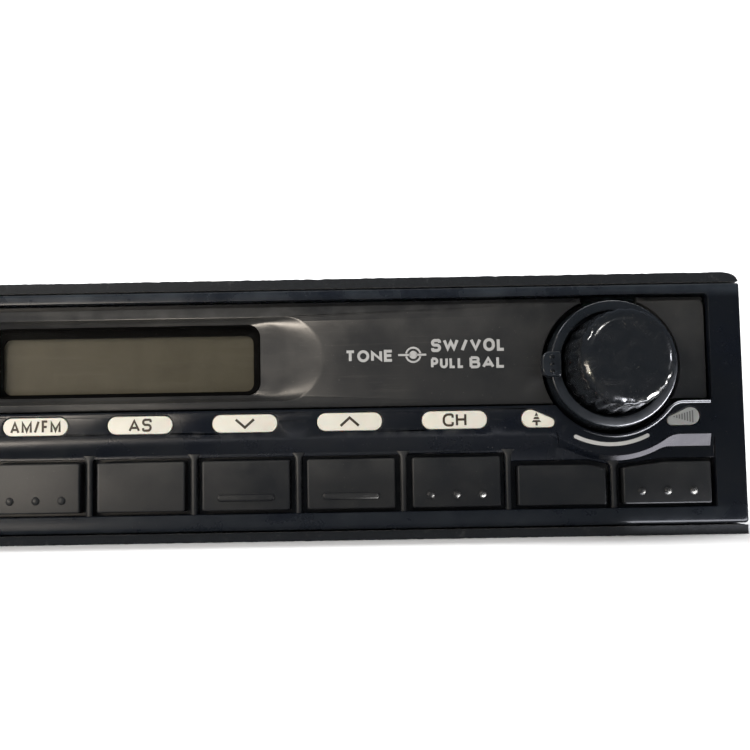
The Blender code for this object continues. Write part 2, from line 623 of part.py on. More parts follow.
SCREW_X = 78.0
TOP_SCREWS = [(s * SCREW_X, y) for s in (-1, 1) for y in (26.0, 132.0)]
BOTTOM_SCREWS = [(s * SCREW_X, 79.0) for s in (-1, 1)]
cover = rounded_rect(-CASE_HALF_W, CASE_HALF_W, CASE_Y0, CASE_Y1, 1.2, 3)
top_cover = node("top_cover", prism(cover, CASE_Z1 - SHEET, CASE_Z1, "z"), "zinc_steel")
VENT_X = [-55.0 + 10.0 * k for k in range(12)]
vents = [prism(rounded_rect(x - 1.6, x + 1.6, y, y + 26.0, 1.3, 1), CASE_Z1 - 3.0, CASE_Z1 + 2.0, "z")
         for y in (42.0, 82.0) for x in VENT_X]
boolean(top_cover, "vents", joined(*vents))
top_holes = [rod(1.8, 48.0, 53.0, 14, "z", (x, y, 0.0)) for x, y in TOP_SCREWS]
boolean(top_cover, "screw_holes", joined(*top_holes))

bottom_cover = node("bottom_cover", prism(cover, CASE_Z0, CASE_Z0 + SHEET, "z"), "zinc_steel")
dimple = [(0.0, 0.0), (2.6, 0.0), (3.4, 0.2), (4.6, 1.3), (0.0, 1.3)]
feet = [lathe(dimple, 20, "z", (x, 134.0, 0.0)) for x in (-66.0, 66.0)]
boolean(bottom_cover, "feet", joined(*feet), "UNION")
bottom_holes = [rod(1.8, -2.0, 4.0, 14, "z", (x, y, 0.0)) for x, y in BOTTOM_SCREWS]
boolean(bottom_cover, "screw_holes", joined(*bottom_holes))
low_vents = [prism(rounded_rect(x - 1.6, x + 1.6, 70.0, 96.0, 1.3, 1), -2.0, 4.0, "z")
             for x in VENT_X[2:-2]]
boolean(bottom_cover, "vents", joined(*low_vents))

WALL_Z = (CASE_Z0 + SHEET + 0.3, CASE_Z1 - SHEET - 0.3)
for side, s in (("left", -1), ("right", 1)):
    x0, x1 = sorted((s * CASE_HALF_W, s * (CASE_HALF_W - SHEET)))
    plate = node(f"side_plate_{side}", block(x0, x1, CASE_Y0, CASE_Y1, *WALL_Z), "zinc_steel")
    holes = [prism(arc(y, z, 2.55, 0, 340, 17), x0 - 1.0, x1 + 1.0, "x")
             for y in (34.0, 84.0) for z in (18.0, 34.0)]
    slits = [prism(rounded_rect(105.0, 127.0, z - 1.2, z + 1.2, 1.0, 1), x0 - 1.0, x1 + 1.0, "x")
             for z in (18.0, 26.0, 34.0)]
    boolean(plate, "holes", joined(*holes, *slits))

rear = node("rear_plate", block(-87.6, 87.6, CASE_Y1 - SHEET, CASE_Y1, *WALL_Z), "zinc_steel")
PLUG = (-34.0, -4.0, 13.0, 30.0)
JACK_X, JACK_Z = -62.0, 21.0
boolean(rear, "holes", joined(
    block(PLUG[0] - 0.3, PLUG[1] + 0.3, 140.0, 147.0, PLUG[2] - 0.3, PLUG[3] + 0.3),
    rod(6.3, 140.0, 147.0, 24, center=(JACK_X, 0.0, JACK_Z)),
    *(rod(1.8, 140.0, 147.0, 14, center=(x, 0.0, 42.0)) for x in (-80.0, 4.0))))

jack_profile = [(4.0, 153.5), (5.4, 153.5), (5.8, 153.1), (5.8, 144.4), (8.2, 144.4), (8.2, 144.2),
                (5.9, 144.2), (5.9, 137.0), (1.0, 137.0), (1.0, 139.0), (4.0, 139.0)]
node("antenna_jack", lathe(jack_profile, 24, center=(JACK_X, 0.0, JACK_Z)), "shaft_steel", smooth=35)

PLUG_Y1 = 152.0
plug_body = block(PLUG[0], PLUG[1], 134.5, PLUG_Y1, PLUG[2], PLUG[3])
plug = node("power_socket", soften(plug_body, 0.6, 2, at_y(PLUG_Y1)), "part_black")
boolean(plug, "cavity", block(PLUG[0] + 1.6, PLUG[1] - 1.6, 139.0, 153.0, PLUG[2] + 1.6, PLUG[3] - 1.6))
boolean(plug, "key_notch", block(-21.5, -16.5, 144.6, 153.0, PLUG[3] - 2.6, PLUG[3] + 1.0))
pins = [block(x - 0.6, x + 0.6, 138.0, 146.0, z - 0.4, z + 0.4)
        for x in (-30.0, -24.5, -19.0, -13.5, -8.0) for z in (17.6, 25.0)]
boolean(plug, "pins", joined(*pins), "UNION")

FIN_COUNT, FIN_PITCH, FIN_W, FIN_X, FIN_ROOT = 13, 5.5, 1.8, 12.0, 147.6
fins = [(FIN_X, CASE_Y1 + 0.3)]
for k in range(FIN_COUNT):
    x = FIN_X + FIN_PITCH * k
    fins += [(x, SINK_Y1), (x + FIN_W, SINK_Y1), (x + FIN_W, FIN_ROOT), (x + FIN_PITCH, FIN_ROOT)]
fins[-2:] = [(FIN_X + FIN_PITCH * (FIN_COUNT - 1) + FIN_W, CASE_Y1 + 0.3)]
sink = node("heat_sink", prism(fins, 5.0, 46.5, "z"), "aluminium")
SINK_SCREWS = (21.2, 70.7)
for x in SINK_SCREWS:
    at = (x, 0.0, 25.0)
    boolean(sink, "screw_pocket", rod(3.2, 147.3, 160.0, 20, center=at))
    boolean(sink, "screw_hole", rod(1.8, 143.0, 149.0, 14, center=at))
    boolean(rear, "sink_hole", rod(1.8, 140.0, 147.0, 14, center=at))


def screw(name, axis, center, head, sign):
    """Pan-head screw: head stands from height head towards sign, shank runs the other way."""
    levels = [(0.0, 0.8), (1.9, 0.8), (2.7, 0.3), (2.7, 0.0), (1.45, 0.0), (1.45, -5.0), (0.0, -5.0)]
    profile = [(r, head + sign * h) for r, h in levels]
    body = node(name, lathe(profile, 14, axis, center), "zinc_steel", smooth=35)
    slot_at = head + sign * 0.8
    u, v = (center[0], center[1]) if axis == "z" else (center[0], center[2])
    for k, (wide, deep) in enumerate(((1.7, 0.28), (0.28, 1.7))):
        arm = [(u - wide, v - deep), (u + wide, v - deep), (u + wide, v + deep), (u - wide, v + deep)]
        boolean(body, f"cross_{k}", prism(arm, slot_at - 0.45, slot_at + 0.45, axis))


for k, (x, y) in enumerate(TOP_SCREWS):
    screw(f"top_screw_{k + 1}", "z", (x, y, 0.0), CASE_Z1 + 0.15, 1)
for k, (x, y) in enumerate(BOTTOM_SCREWS):
    screw(f"bottom_screw_{k + 1}", "z", (x, y, 0.0), CASE_Z0 - 0.15, -1)
for k, x in enumerate(SINK_SCREWS):
    screw(f"sink_screw_{k + 1}", "y", (x, 0.0, 25.0), 147.45, 1)
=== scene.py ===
"""Looks of the car radio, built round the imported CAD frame.

Shapes are drawn in millimetres on the radio's own axes: x to the right, y back into the
dashboard from the front plane of the nose frame, z up from the surface the radio stands on.
`MM` and the nose frame's front plane carry them into the row frame.
"""

import json
import math

import bmesh
import bpy
from mathutils import Matrix, Vector
from mathutils.noise import noise as perlin


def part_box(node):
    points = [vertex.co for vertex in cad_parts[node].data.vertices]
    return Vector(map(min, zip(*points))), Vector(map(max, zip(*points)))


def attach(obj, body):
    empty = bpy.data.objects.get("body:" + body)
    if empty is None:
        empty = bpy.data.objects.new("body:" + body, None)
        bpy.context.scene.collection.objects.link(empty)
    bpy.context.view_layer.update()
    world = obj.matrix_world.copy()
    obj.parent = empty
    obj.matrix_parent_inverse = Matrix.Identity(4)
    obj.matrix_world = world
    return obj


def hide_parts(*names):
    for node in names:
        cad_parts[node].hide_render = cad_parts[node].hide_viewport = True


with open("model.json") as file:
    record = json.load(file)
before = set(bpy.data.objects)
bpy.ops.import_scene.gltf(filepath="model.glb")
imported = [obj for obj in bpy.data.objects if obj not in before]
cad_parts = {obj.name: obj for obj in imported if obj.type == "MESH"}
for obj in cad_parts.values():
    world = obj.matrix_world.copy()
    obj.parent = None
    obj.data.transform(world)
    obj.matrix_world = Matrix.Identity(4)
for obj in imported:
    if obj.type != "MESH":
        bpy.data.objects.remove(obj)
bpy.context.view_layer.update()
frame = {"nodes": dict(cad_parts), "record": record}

MM = 0.001
SLOTS = {row["node"]: row["material_slot"] for row in frame["record"]["subparts"]}
BODY_OF = {node: body for body, nodes in frame["record"]["behaviour"]["bodies"].items() for node in nodes}
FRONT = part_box("front_bezel")[0].y


def cad(node):
    """A CAD node's box in the radio's millimetres: x0, x1, y0, y1, z0, z1."""
    low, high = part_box(node)
    return (low.x / MM, high.x / MM, (low.y - FRONT) / MM, (high.y - FRONT) / MM, low.z / MM, high.z / MM)


KNOB_X = sum(cad("volume_knob")[0:2]) / 2
KNOB_Z = sum(cad("volume_knob")[4:6]) / 2


def sin(degrees):
    return math.sin(math.radians(degrees))


def cos(degrees):
    return math.cos(math.radians(degrees))


def scaled(color, factor):
    return tuple(factor * c for c in color)


# ---------------------------------------------------------------- materials

class Shader:
    """One Principled material and short ways to add nodes to it, all in object coordinates (metres)."""

    def __init__(self, name, color, rough, metal=0.0, **sockets):
        self.name = name
        self.mat = bpy.data.materials.new(name)
        self.mat.use_nodes = True
        self.tree = self.mat.node_tree
        self.bsdf = self.tree.nodes["Principled BSDF"]
        self.bsdf.inputs["Base Color"].default_value = (*color, 1.0)
        self.bsdf.inputs["Roughness"].default_value = rough
        self.bsdf.inputs["Metallic"].default_value = metal
        for key, value in sockets.items():
            self.bsdf.inputs[key.replace("_", " ")].default_value = value
        self.where = self.tree.nodes.new("ShaderNodeTexCoord").outputs["Object"]
        self.color = (*color, 1.0)

    def node(self, kind, inputs=(), **settings):
        made = self.tree.nodes.new("ShaderNode" + kind)
        for key, value in settings.items():
            setattr(made, key, value)
        for key, value in dict(inputs).items():
            if isinstance(value, bpy.types.NodeSocket):
                self.tree.links.new(value, made.inputs[key])
            else:
                made.inputs[key].default_value = value
        return made

    def stretched(self, scale):
        """Object coordinates stretched along an axis, for brushed or scuffed marks."""
        return self.node("Mapping", {"Vector": self.where, "Scale": scale}).outputs["Vector"]

    def noise(self, size_mm, detail=4.0, rough=0.55, warp=0.0, where=None):
        """Noise with features of about size_mm."""
        return self.node("TexNoise", {
            "Vector": where or self.where, "Scale": 1.0 / (size_mm * MM), "Detail": detail,
            "Roughness": rough, "Distortion": warp}).outputs["Fac"]

    def place(self, axis):
        """Position along one axis of the row frame, in metres."""
        return self.node("SeparateXYZ", {"Vector": self.where}).outputs[axis]

    def cells(self, size_mm):
        inputs = {"Vector": self.where, "Scale": 1.0 / (size_mm * MM)}
        return self.node("TexVoronoi", inputs).outputs["Distance"]

    def fit(self, value, low, high, to_low=0.0, to_high=1.0):
        """Stretches value from low..high to to_low..to_high, and holds it there outside."""
        inputs = {"Value": value, "From Min": low, "From Max": high, "To Min": to_low, "To Max": to_high}
        return self.node("MapRange", inputs).outputs["Result"]

    def times(self, a, b):
        return self.node("Math", {0: a, 1: b}, operation="MULTIPLY").outputs[0]

    def plus(self, a, b):
        return self.node("Math", {0: a, 1: b}, operation="ADD").outputs[0]

    def tint(self, mask, color):
        """Lays a colour over what is there so far, where mask is 1."""
        factor, below, above = 0, 6, 7      # the Mix node's sockets for colours
        mixed = {factor: mask, below: self.color, above: (*color, 1.0)}
        self.color = self.node("Mix", mixed, data_type="RGBA").outputs[2]
        self.tree.links.new(self.color, self.bsdf.inputs["Base Color"])

    def spots(self, size_mm, detail, rough, low, high, share, color):
        """Lays up to share of a colour where noise of that size is above low, all of it above high."""
        self.tint(self.fit(self.noise(size_mm, detail, rough), low, high, 0.0, share), color)

    def roughness(self, value):
        self.tree.links.new(value, self.bsdf.inputs["Roughness"])

    def bump(self, *layers):
        """Layers of (height, strength, depth in mm), finest first."""
        normal = None
        for height, strength, depth in layers:
            inputs = {"Height": height, "Strength": strength, "Distance": depth * MM}
            if normal is not None:
                inputs["Normal"] = normal
            normal = self.node("Bump", inputs).outputs["Normal"]
        self.tree.links.new(normal, self.bsdf.inputs["Normal"])

    def worn_edges(self):
        """Mask that is 1 along sharp outer edges, broken up by noise."""
        edge = self.fit(self.node("NewGeometry").outputs["Pointiness"], 0.53, 0.60)
        return self.times(edge, self.fit(self.noise(3.0, 5.0), 0.45, 0.62))


def moulded_plastic(name, color, rough, film_and_light_tone, dust=0.5, grain=0.5, scuff=0.0, level=0.5, painted_light_bands=()):
    """Black moulded plastic: fine mould grain, cloudy gloss, settled dust, worn edges and fine scuffs.

    The second colour is a pale layer that handling and dust leave, in cloudy patches. Towards the left it is
    laid on
    again, paler: painted light from the warm lamp on that side. Each entry of the last argument lays it on
    more at a height, as painted light where light falls more strongly: (none at z, full at z, share, how
    much paler).
    """
    s = Shader(name, color, rough, Specular_IOR_Level=level)
    cloudy = s.noise(12.0, 5.0, 0.62)
    fine = s.noise(0.22, 3.0, 0.6)
    film_and_light_mask = s.fit(cloudy, 0.36, 0.72, 0.15, 1.0)
    s.tint(s.times(film_and_light_mask, 0.8), film_and_light_tone)
    # Painted light: paler towards the left, where the warm lamp falls and is mirrored.
    left = s.fit(s.place("X"), 20 * MM, -80 * MM, 0.0, 0.75)
    s.tint(s.times(film_and_light_mask, left), scaled(film_and_light_tone, 2.0))
    # Painted light: paler bands at set heights, where the light falls more strongly.
    for none_z, full_z, share, paler in painted_light_bands:
        there = s.fit(s.place("Z"), none_z * MM, full_z * MM, 0.0, share)
        s.tint(s.times(film_and_light_mask, there), scaled(film_and_light_tone, paler))
    specks = s.fit(s.noise(0.5, 2.0, 0.7), 0.69, 0.76, 0.0, dust)
    s.tint(s.times(specks, s.fit(s.noise(9.0, 3.0), 0.42, 0.62)), (0.15, 0.14, 0.125))
    s.tint(s.times(s.worn_edges(), 0.35), (0.07, 0.07, 0.07))
    layers = [(fine, 0.10 * grain, 0.05), (s.noise(2.4, 4.0), 0.05, 0.12)]
    gloss = s.fit(cloudy, 0.3, 0.75, rough - 0.06, rough + 0.10)
    if scuff:
        lines = s.noise(1.0, 6.0, 0.75, 0.4, s.stretched((0.05, 1.0, 2.2)))
        where = s.fit(s.noise(26.0, 3.0), 0.38, 0.64)
        marks = s.times(s.fit(lines, 0.56, 0.74), where)
        s.tint(s.times(marks, scuff), (0.09, 0.087, 0.08))
        gloss = s.plus(gloss, s.times(marks, 0.2))
        layers.append((marks, 0.10, 0.02))
    s.roughness(gloss)
    s.bump(*layers)
    return s


def knob_gloss():
    """Polished black knob, handled: smears that dull the gloss, and dust in the flutes."""
    s = Shader("knob_gloss", (0.0075, 0.0088, 0.0105), 0.2, Coat_Weight=0.5, Coat_Roughness=0.06)
    smear = s.noise(5.0, 6.0, 0.65, 1.2)
    grit = s.fit(s.noise(0.42, 3.0, 0.75), 0.60, 0.70)
    s.tint(s.fit(smear, 0.45, 0.75, 0.0, 0.5), (0.020, 0.020, 0.021))
    s.tint(s.times(grit, s.fit(s.noise(2.6, 3.0), 0.50, 0.64, 0.0, 0.6)), (0.13, 0.12, 0.10))
    s.roughness(s.fit(smear, 0.35, 0.7, 0.11, 0.34))
    s.bump((s.noise(0.5, 3.0), 0.06, 0.05), (s.noise(2.3, 5.0, 0.7), 0.45, 0.16))
    return s


def felt():
    """Black felt strip: short matted fibres with lint caught in them."""
    s = Shader("felt_black", (0.007, 0.009, 0.012), 0.95, Sheen_Weight=0.2, Sheen_Roughness=0.5)
    fibre = s.noise(0.28, 6.0, 0.8, 1.5)
    clump = s.noise(1.7, 5.0, 0.7)
    s.tint(s.fit(fibre, 0.50, 0.72, 0.0, 0.8), (0.022, 0.028, 0.034))
    s.tint(s.fit(clump, 0.60, 0.74, 0.0, 0.5), (0.060, 0.062, 0.064))
    lint = s.times(s.fit(s.noise(0.6, 5.0, 0.8, 2.0), 0.68, 0.74), s.fit(clump, 0.5, 0.6))
    s.tint(lint, (0.28, 0.27, 0.25))
    s.bump((fibre, 0.8, 0.12), (clump, 0.5, 0.2))
    return s


def label_plastic(name, color, aged):
    """Milky label windows, slightly yellowed, with light grime."""
    s = Shader(name, color, 0.42, Subsurface_Weight=0.2, Subsurface_Scale=0.0005)
    s.spots(3.0, 4.0, 0.55, 0.40, 0.75, 0.35, aged)
    s.spots(0.5, 4.0, 0.7, 0.68, 0.77, 0.3, scaled(aged, 0.5))
    s.bump((s.noise(0.9, 3.0), 0.05, 0.05))
    return s


def display_glass():
    """The dead display seen through its dusty window: olive grey, smeared, paler to the lower left."""
    s = Shader("lcd_olive", (0.054, 0.047, 0.028), 0.5, Specular_IOR_Level=0.3)
    smear = s.noise(9.0, 5.0, 0.6, 1.5, s.stretched((1.0, 1.0, 0.35)))
    wipe = s.noise(1.6, 5.0, 0.7, 0.5, s.stretched((0.07, 1.0, 1.0)))
    s.tint(s.fit(smear, 0.35, 0.70, 0.0, 0.7), (0.078, 0.069, 0.045))
    s.tint(s.fit(wipe, 0.52, 0.72, 0.0, 0.35), (0.098, 0.090, 0.064))
    s.tint(s.fit(s.noise(1.3, 4.0, 0.75, 0.6), 0.66, 0.76, 0.0, 0.5), (0.020, 0.018, 0.012))
    s.spots(0.45, 3.0, 0.75, 0.71, 0.78, 0.6, (0.20, 0.19, 0.16))
    s.roughness(s.fit(smear, 0.3, 0.7, 0.45, 0.62))
    return s


def clear_window():
    """The flat window over the display: see-through, with wiped dust that shows as a pale veil."""
    s = Shader("clear_lens", (0.07, 0.067, 0.058), 0.12)
    veil = s.noise(6.0, 5.0, 0.65, 1.2, s.stretched((0.25, 1.0, 1.0)))
    s.tree.links.new(s.fit(veil, 0.42, 0.75, 0.004, 0.045), s.bsdf.inputs["Alpha"])
    return s


def print_ink(name, color):
    s = Shader(name, color, 0.55)
    s.spots(0.35, 4.0, 0.7, 0.60, 0.75, 0.5, scaled(color, 0.45))
    return s


def zinc_sheet():
    """Zinc-plated steel sheet: faint spangle, rolling lines, dull stains and a few fingermarks."""
    s = Shader("zinc_steel", (0.50, 0.51, 0.52), 0.40, 0.92)
    spangle = s.cells(3.2)
    stain = s.noise(22.0, 6.0, 0.65, 0.8)
    roll = s.noise(1.1, 5.0, 0.7, 0.2, s.stretched((1.0, 0.03, 1.0)))
    s.tint(s.fit(spangle, 0.1, 0.9, 0.0, 0.35), (0.40, 0.41, 0.43))
    s.tint(s.fit(stain, 0.48, 0.72, 0.0, 0.75), (0.33, 0.315, 0.28))
    s.spots(0.9, 5.0, 0.8, 0.70, 0.78, 0.7, (0.24, 0.20, 0.15))
    s.roughness(s.plus(s.fit(stain, 0.35, 0.75, 0.30, 0.52), s.fit(roll, 0.4, 0.7, -0.03, 0.08)))
    s.bump((roll, 0.08, 0.02), (spangle, 0.04, 0.03), (s.noise(30.0, 2.0), 0.10, 0.6))
    return s


def bare_metal(name, color, rough, line=(1.0, 1.0, 0.04)):
    """Machined or drawn metal with fine lines one way and a dull oxide bloom."""
    s = Shader(name, color, rough, 1.0)
    grain = s.noise(0.9, 5.0, 0.7, 0.1, s.stretched(line))
    s.spots(7.0, 5.0, 0.65, 0.45, 0.75, 0.6, scaled(color, 0.6))
    s.roughness(s.fit(grain, 0.3, 0.7, rough - 0.08, rough + 0.12))
    s.bump((grain, 0.12, 0.03))
    return s


def plain_plastic(name, color, rough=0.5, level=0.5):
    """Plain moulding in one colour: slightly cloudy, with specks and a fine grain."""
    s = Shader(name, color, rough, Specular_IOR_Level=level)
    s.spots(2.5, 4.0, 0.55, 0.4, 0.75, 0.4, scaled(color, 0.7))
    s.spots(0.6, 3.0, 0.7, 0.68, 0.76, 0.4, tuple(c * 0.5 + 0.03 * level for c in color))
    s.bump((s.noise(0.35, 3.0), 0.12, 0.04))
    return s


def circuit_board():
    """Green resist over copper: raised tracks, bare pads, flux haze."""
    s = Shader("pcb_green", (0.012, 0.10, 0.035), 0.35)
    tracks = s.node("TexBrick", {"Vector": s.where, "Scale": 160.0, "Mortar Size": 0.035}).outputs["Fac"]
    s.tint(s.times(tracks, 0.7), (0.03, 0.19, 0.06))
    s.tint(s.fit(s.cells(2.3), 0.10, 0.16, 1.0, 0.0), (0.50, 0.42, 0.22))
    s.spots(8.0, 4.0, 0.55, 0.55, 0.8, 0.4, (0.09, 0.12, 0.05))
    s.bump((tracks, 0.3, 0.05))
    return s


MATERIALS = {shader.name: shader.mat for shader in (
    # Every moulded plastic here gets painted light, paler to the left. The height bands are painted light
    # too: the frame's top and bottom bands, the panel's upper part and the keys' upper part are paler where
    # light falls more strongly.
    moulded_plastic("abs_black", (0.0034, 0.0050, 0.0096), 0.28, (0.0060, 0.0073, 0.0090), 0.4, level=0.4,
                    painted_light_bands=((47.0, 48.5, 0.8, 6.5), (6.0, 5.0, 0.7, 3.6))),
    moulded_plastic("panel_black", (0.019, 0.0195, 0.0205), 0.36, (0.031, 0.0305, 0.029), 0.6, 0.4, 0.5,
                    painted_light_bands=((34.0, 45.0, 0.6, 1.9),)),
    moulded_plastic("key_black", (0.0098, 0.0112, 0.0135), 0.38, (0.023, 0.0228, 0.022), 0.5, 0.6,
                    painted_light_bands=((11.0, 16.0, 0.7, 2.0),)),
    knob_gloss(),
    felt(),
    label_plastic("legend_white", (0.71, 0.685, 0.60), (0.62, 0.57, 0.455)),
    clear_window(),
    display_glass(),
    plain_plastic("holder_black", (0.0012, 0.0012, 0.0013), 0.8, 0.06),
    plain_plastic("diffuser_white", (0.78, 0.78, 0.74)),
    zinc_sheet(),
    bare_metal("aluminium", (0.60, 0.61, 0.62), 0.42),
    bare_metal("shaft_steel", (0.56, 0.55, 0.53), 0.28, (1.0, 0.05, 1.0)),
    circuit_board(),
    plain_plastic("part_black", (0.020, 0.020, 0.021), 0.45),
    plain_plastic("connector_ivory", (0.66, 0.61, 0.48)),
    plain_plastic("lamp_glass", (0.80, 0.77, 0.66), 0.15),
    bare_metal("copper", (0.62, 0.25, 0.10), 0.35, (0.05, 1.0, 1.0)),
    plain_plastic("cap_sleeve", (0.022, 0.045, 0.13), 0.3),
    moulded_plastic("ring_slate", (0.009, 0.0115, 0.0150), 0.22, (0.019, 0.0225, 0.027), 0.4, 0.6),
    label_plastic("label_grey", (0.42, 0.42, 0.40), (0.34, 0.33, 0.30)),
    print_ink("ink_grey", (0.42, 0.42, 0.41)),
    print_ink("ink_brown", (0.045, 0.032, 0.020)),
    print_ink("bar_grey", (0.16, 0.155, 0.145)),
    print_ink("arc_grey", (0.48, 0.48, 0.47)),
)}


# ---------------------------------------------------------------- mesh tools, in millimetres

def arc(cx, cz, r, a0, a1, steps):
    """Points on a circle from angle a0 to a1, in degrees."""
    turn = [math.radians(a0 + (a1 - a0) * i / steps) for i in range(steps + 1)]
    return [(cx + r * math.cos(a), cz + r * math.sin(a)) for a in turn]


def rounded_rect(x0, x1, z0, z1, radii, steps=8):
    """Outline, anticlockwise. radii: one, or lower left, lower right, upper right, upper left."""
    if not isinstance(radii, tuple):
        radii = (radii,) * 4
    corners = ((x0, z0, 1, 1, 180), (x1, z0, -1, 1, 270), (x1, z1, -1, -1, 0), (x0, z1, 1, -1, 90))
    points = []
    for (x, z, sx, sz, a), r in zip(corners, radii):
        points += arc(x + sx * r, z + sz * r, r, a, a + 90, steps)
    return points


def rounded(corners, radius, steps=6, loop=True):
    """A line through corners with its bends rounded: closed, or open without loop."""
    points = []
    for i, here in enumerate(corners):
        p = Vector(here)
        if radius == 0 or (not loop and i in (0, len(corners) - 1)):
            points.append(tuple(p))
            continue
        to_last = Vector(corners[i - 1]) - p
        to_next = Vector(corners[(i + 1) % len(corners)]) - p
        half = to_last.angle(to_next) / 2
        cut = min(radius / math.tan(half), to_last.length / 2, to_next.length / 2)
        r = cut * math.tan(half)
        to_last.normalize()
        to_next.normalize()
        middle = p + (to_last + to_next).normalized() * r / math.sin(half)
        start = p + to_last * cut - middle
        end = p + to_next * cut - middle
        for k in range(steps + 1):
            points.append(tuple(middle + start.lerp(end, k / steps).normalized() * r))
    return points


def loft(bm, rings, caps=True):
    rows = [[bm.verts.new(p) for p in ring] for ring in rings]
    count = len(rows[0])
    for a, b in zip(rows, rows[1:]):
        for i in range(count):
            j = (i + 1) % count
            bm.faces.new((a[i], a[j], b[j], b[i]))
    if caps:
        bm.faces.new(rows[0])
        bm.faces.new(rows[-1])


def between(first, second, share):
    """The outline that lies a share of the way from one outline to another."""
    return [(a + (c - a) * share, b + (d - b) * share) for (a, b), (c, d) in zip(first, second)]


def closed(bm):
    bmesh.ops.recalc_face_normals(bm, faces=bm.faces)
    return bm


def lofted(rings):
    bm = bmesh.new()
    loft(bm, rings)
    return closed(bm)


def stepped(levels):
    """Outlines in XZ of equal length at rising y."""
    return lofted([[(x, y, z) for x, z in outline] for y, outline in levels])


def prism(outline, low, high):
    return stepped([(low, outline), (high, outline)])


def box_outline(x0, x1, z0, z1):
    return [(x0, z0), (x1, z0), (x1, z1), (x0, z1)]


def block(x0, x1, y0, y1, z0, z1):
    return prism(box_outline(x0, x1, z0, z1), y0, y1)


def lathe(profile, segments, center, radius_of=lambda r, y, a: r):
    """Profile of (radius, y) turned about the y axis through center: from axis to axis, or a closed ring."""
    def ring(r, y):
        points = []
        for k in range(segments):
            a = 2 * math.pi * k / segments
            rr = radius_of(r, y, a)
            points.append(Vector((rr * math.cos(a), y, rr * math.sin(a))) + Vector(center))
        return points

    if profile[0][0] == 0.0:
        return lofted([ring(r, y) for r, y in profile[1:-1]])
    bm = bmesh.new()
    rings = [ring(r, y) for r, y in profile]
    loft(bm, rings + rings[:1], caps=False)
    bmesh.ops.remove_doubles(bm, verts=bm.verts, dist=1e-6)
    return closed(bm)


def rod(r, low, high, center, segments):
    return lathe([(0.0, low), (r, low), (r, high), (0.0, high)], segments, center)


def together(*parts):
    """Several meshes as one, without joining them."""
    whole = bmesh.new()
    for part in parts:
        mesh = bpy.data.meshes.new("part")
        part.to_mesh(mesh)
        part.free()
        whole.from_mesh(mesh)
        bpy.data.meshes.remove(mesh)
    return whole


def into_row(bm):
    """Millimetres on the radio's axes to metres in the row frame."""
    bmesh.ops.scale(bm, verts=bm.verts, vec=(MM, MM, MM))
    bmesh.ops.translate(bm, verts=bm.verts, vec=(0.0, FRONT, 0.0))
    return bm


def added(name, data):
    """A new object in the scene, with this mesh, light or camera."""
    obj = bpy.data.objects.new(name, data)
    bpy.context.scene.collection.objects.link(obj)
    return obj


def new_object(name, bm):
    mesh = bpy.data.meshes.new(name)
    into_row(bm).to_mesh(mesh)
    bm.free()
    return added(name, mesh)


def combine(obj, operation, *solids):
    """Applies one kind of Boolean with each solid in turn."""
    for bm in solids:
        helper = new_object("helper", bm)
        modifier = obj.modifiers.new("combine", "BOOLEAN")
        modifier.operation = operation
        modifier.solver = "EXACT"
        modifier.object = helper
        bake(obj)
        bpy.data.objects.remove(helper)


def bake(obj):
    """Replaces the mesh by what its modifiers make of it."""
    graph = bpy.context.evaluated_depsgraph_get()
    done = bpy.data.meshes.new_from_object(obj.evaluated_get(graph))
    obj.modifiers.clear()
    old = obj.data
    obj.data = done
    bpy.data.meshes.remove(old)


def tidy_mesh(obj, flat=0.02):
    """Welds points, joins faces that lie within flat degrees of each other, then cuts all into triangles."""
    bm = bmesh.new()
    bm.from_mesh(obj.data)
    bmesh.ops.remove_doubles(bm, verts=bm.verts, dist=2e-6)
    bmesh.ops.dissolve_limit(bm, angle_limit=math.radians(flat), verts=bm.verts, edges=bm.edges)
    bmesh.ops.triangulate(bm, faces=bm.faces)
    bm.to_mesh(obj.data)
    bm.free()


def round_edges(obj, width, segments=3, angle=32.0):
    """Rounds sharp edges by real geometry, and shades smooth what is left. Without width it only shades."""
    if width:
        bevel = obj.modifiers.new("edges", "BEVEL")
        bevel.width = width * MM
        bevel.segments = segments
        bevel.limit_method = "ANGLE"
        bevel.angle_limit = math.radians(angle)
        bevel.use_clamp_overlap = False
        bevel.miter_outer = "MITER_ARC"
        bake(obj)
    obj.data.polygons.foreach_set("use_smooth", [True] * len(obj.data.polygons))
    obj.data.set_sharp_from_angle(angle=math.radians(40))


def piece(obj, material, body="radio", slot=None, replaces=()):
    """Dresses a finished object and hangs it on its body. The slot argument is not used."""
    obj.data.materials.clear()
    obj.data.materials.append(MATERIALS[material])
    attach(obj, body)
    slot or material
    if replaces:
        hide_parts(*replaces)
    return obj


def smooth_piece(name, bm, material, body="radio", slot=None, replaces=()):
    """A finished mesh that needs only smooth shading."""
    obj = new_object(name, bm)
    round_edges(obj, 0.0)
    return piece(obj, material, body, slot, replaces)


def copy_of(node, name):
    return added(name, frame["nodes"][node].data.copy())


def refined(node, width):
    """The CAD node's own shape, its edges rounded and its flat faces shaded flat up to them."""
    obj = copy_of(node, f"{node}_fine")
    tidy_mesh(obj, 0.5)
    round_edges(obj, width, 2)
    flats = obj.modifiers.new("flats", "WEIGHTED_NORMAL")
    flats.keep_sharp = True
    flats.weight = 100
    bake(obj)
    return piece(obj, SLOTS[node], BODY_OF[node], replaces=(node,))


# ---------------------------------------------------------------- sizes of the front

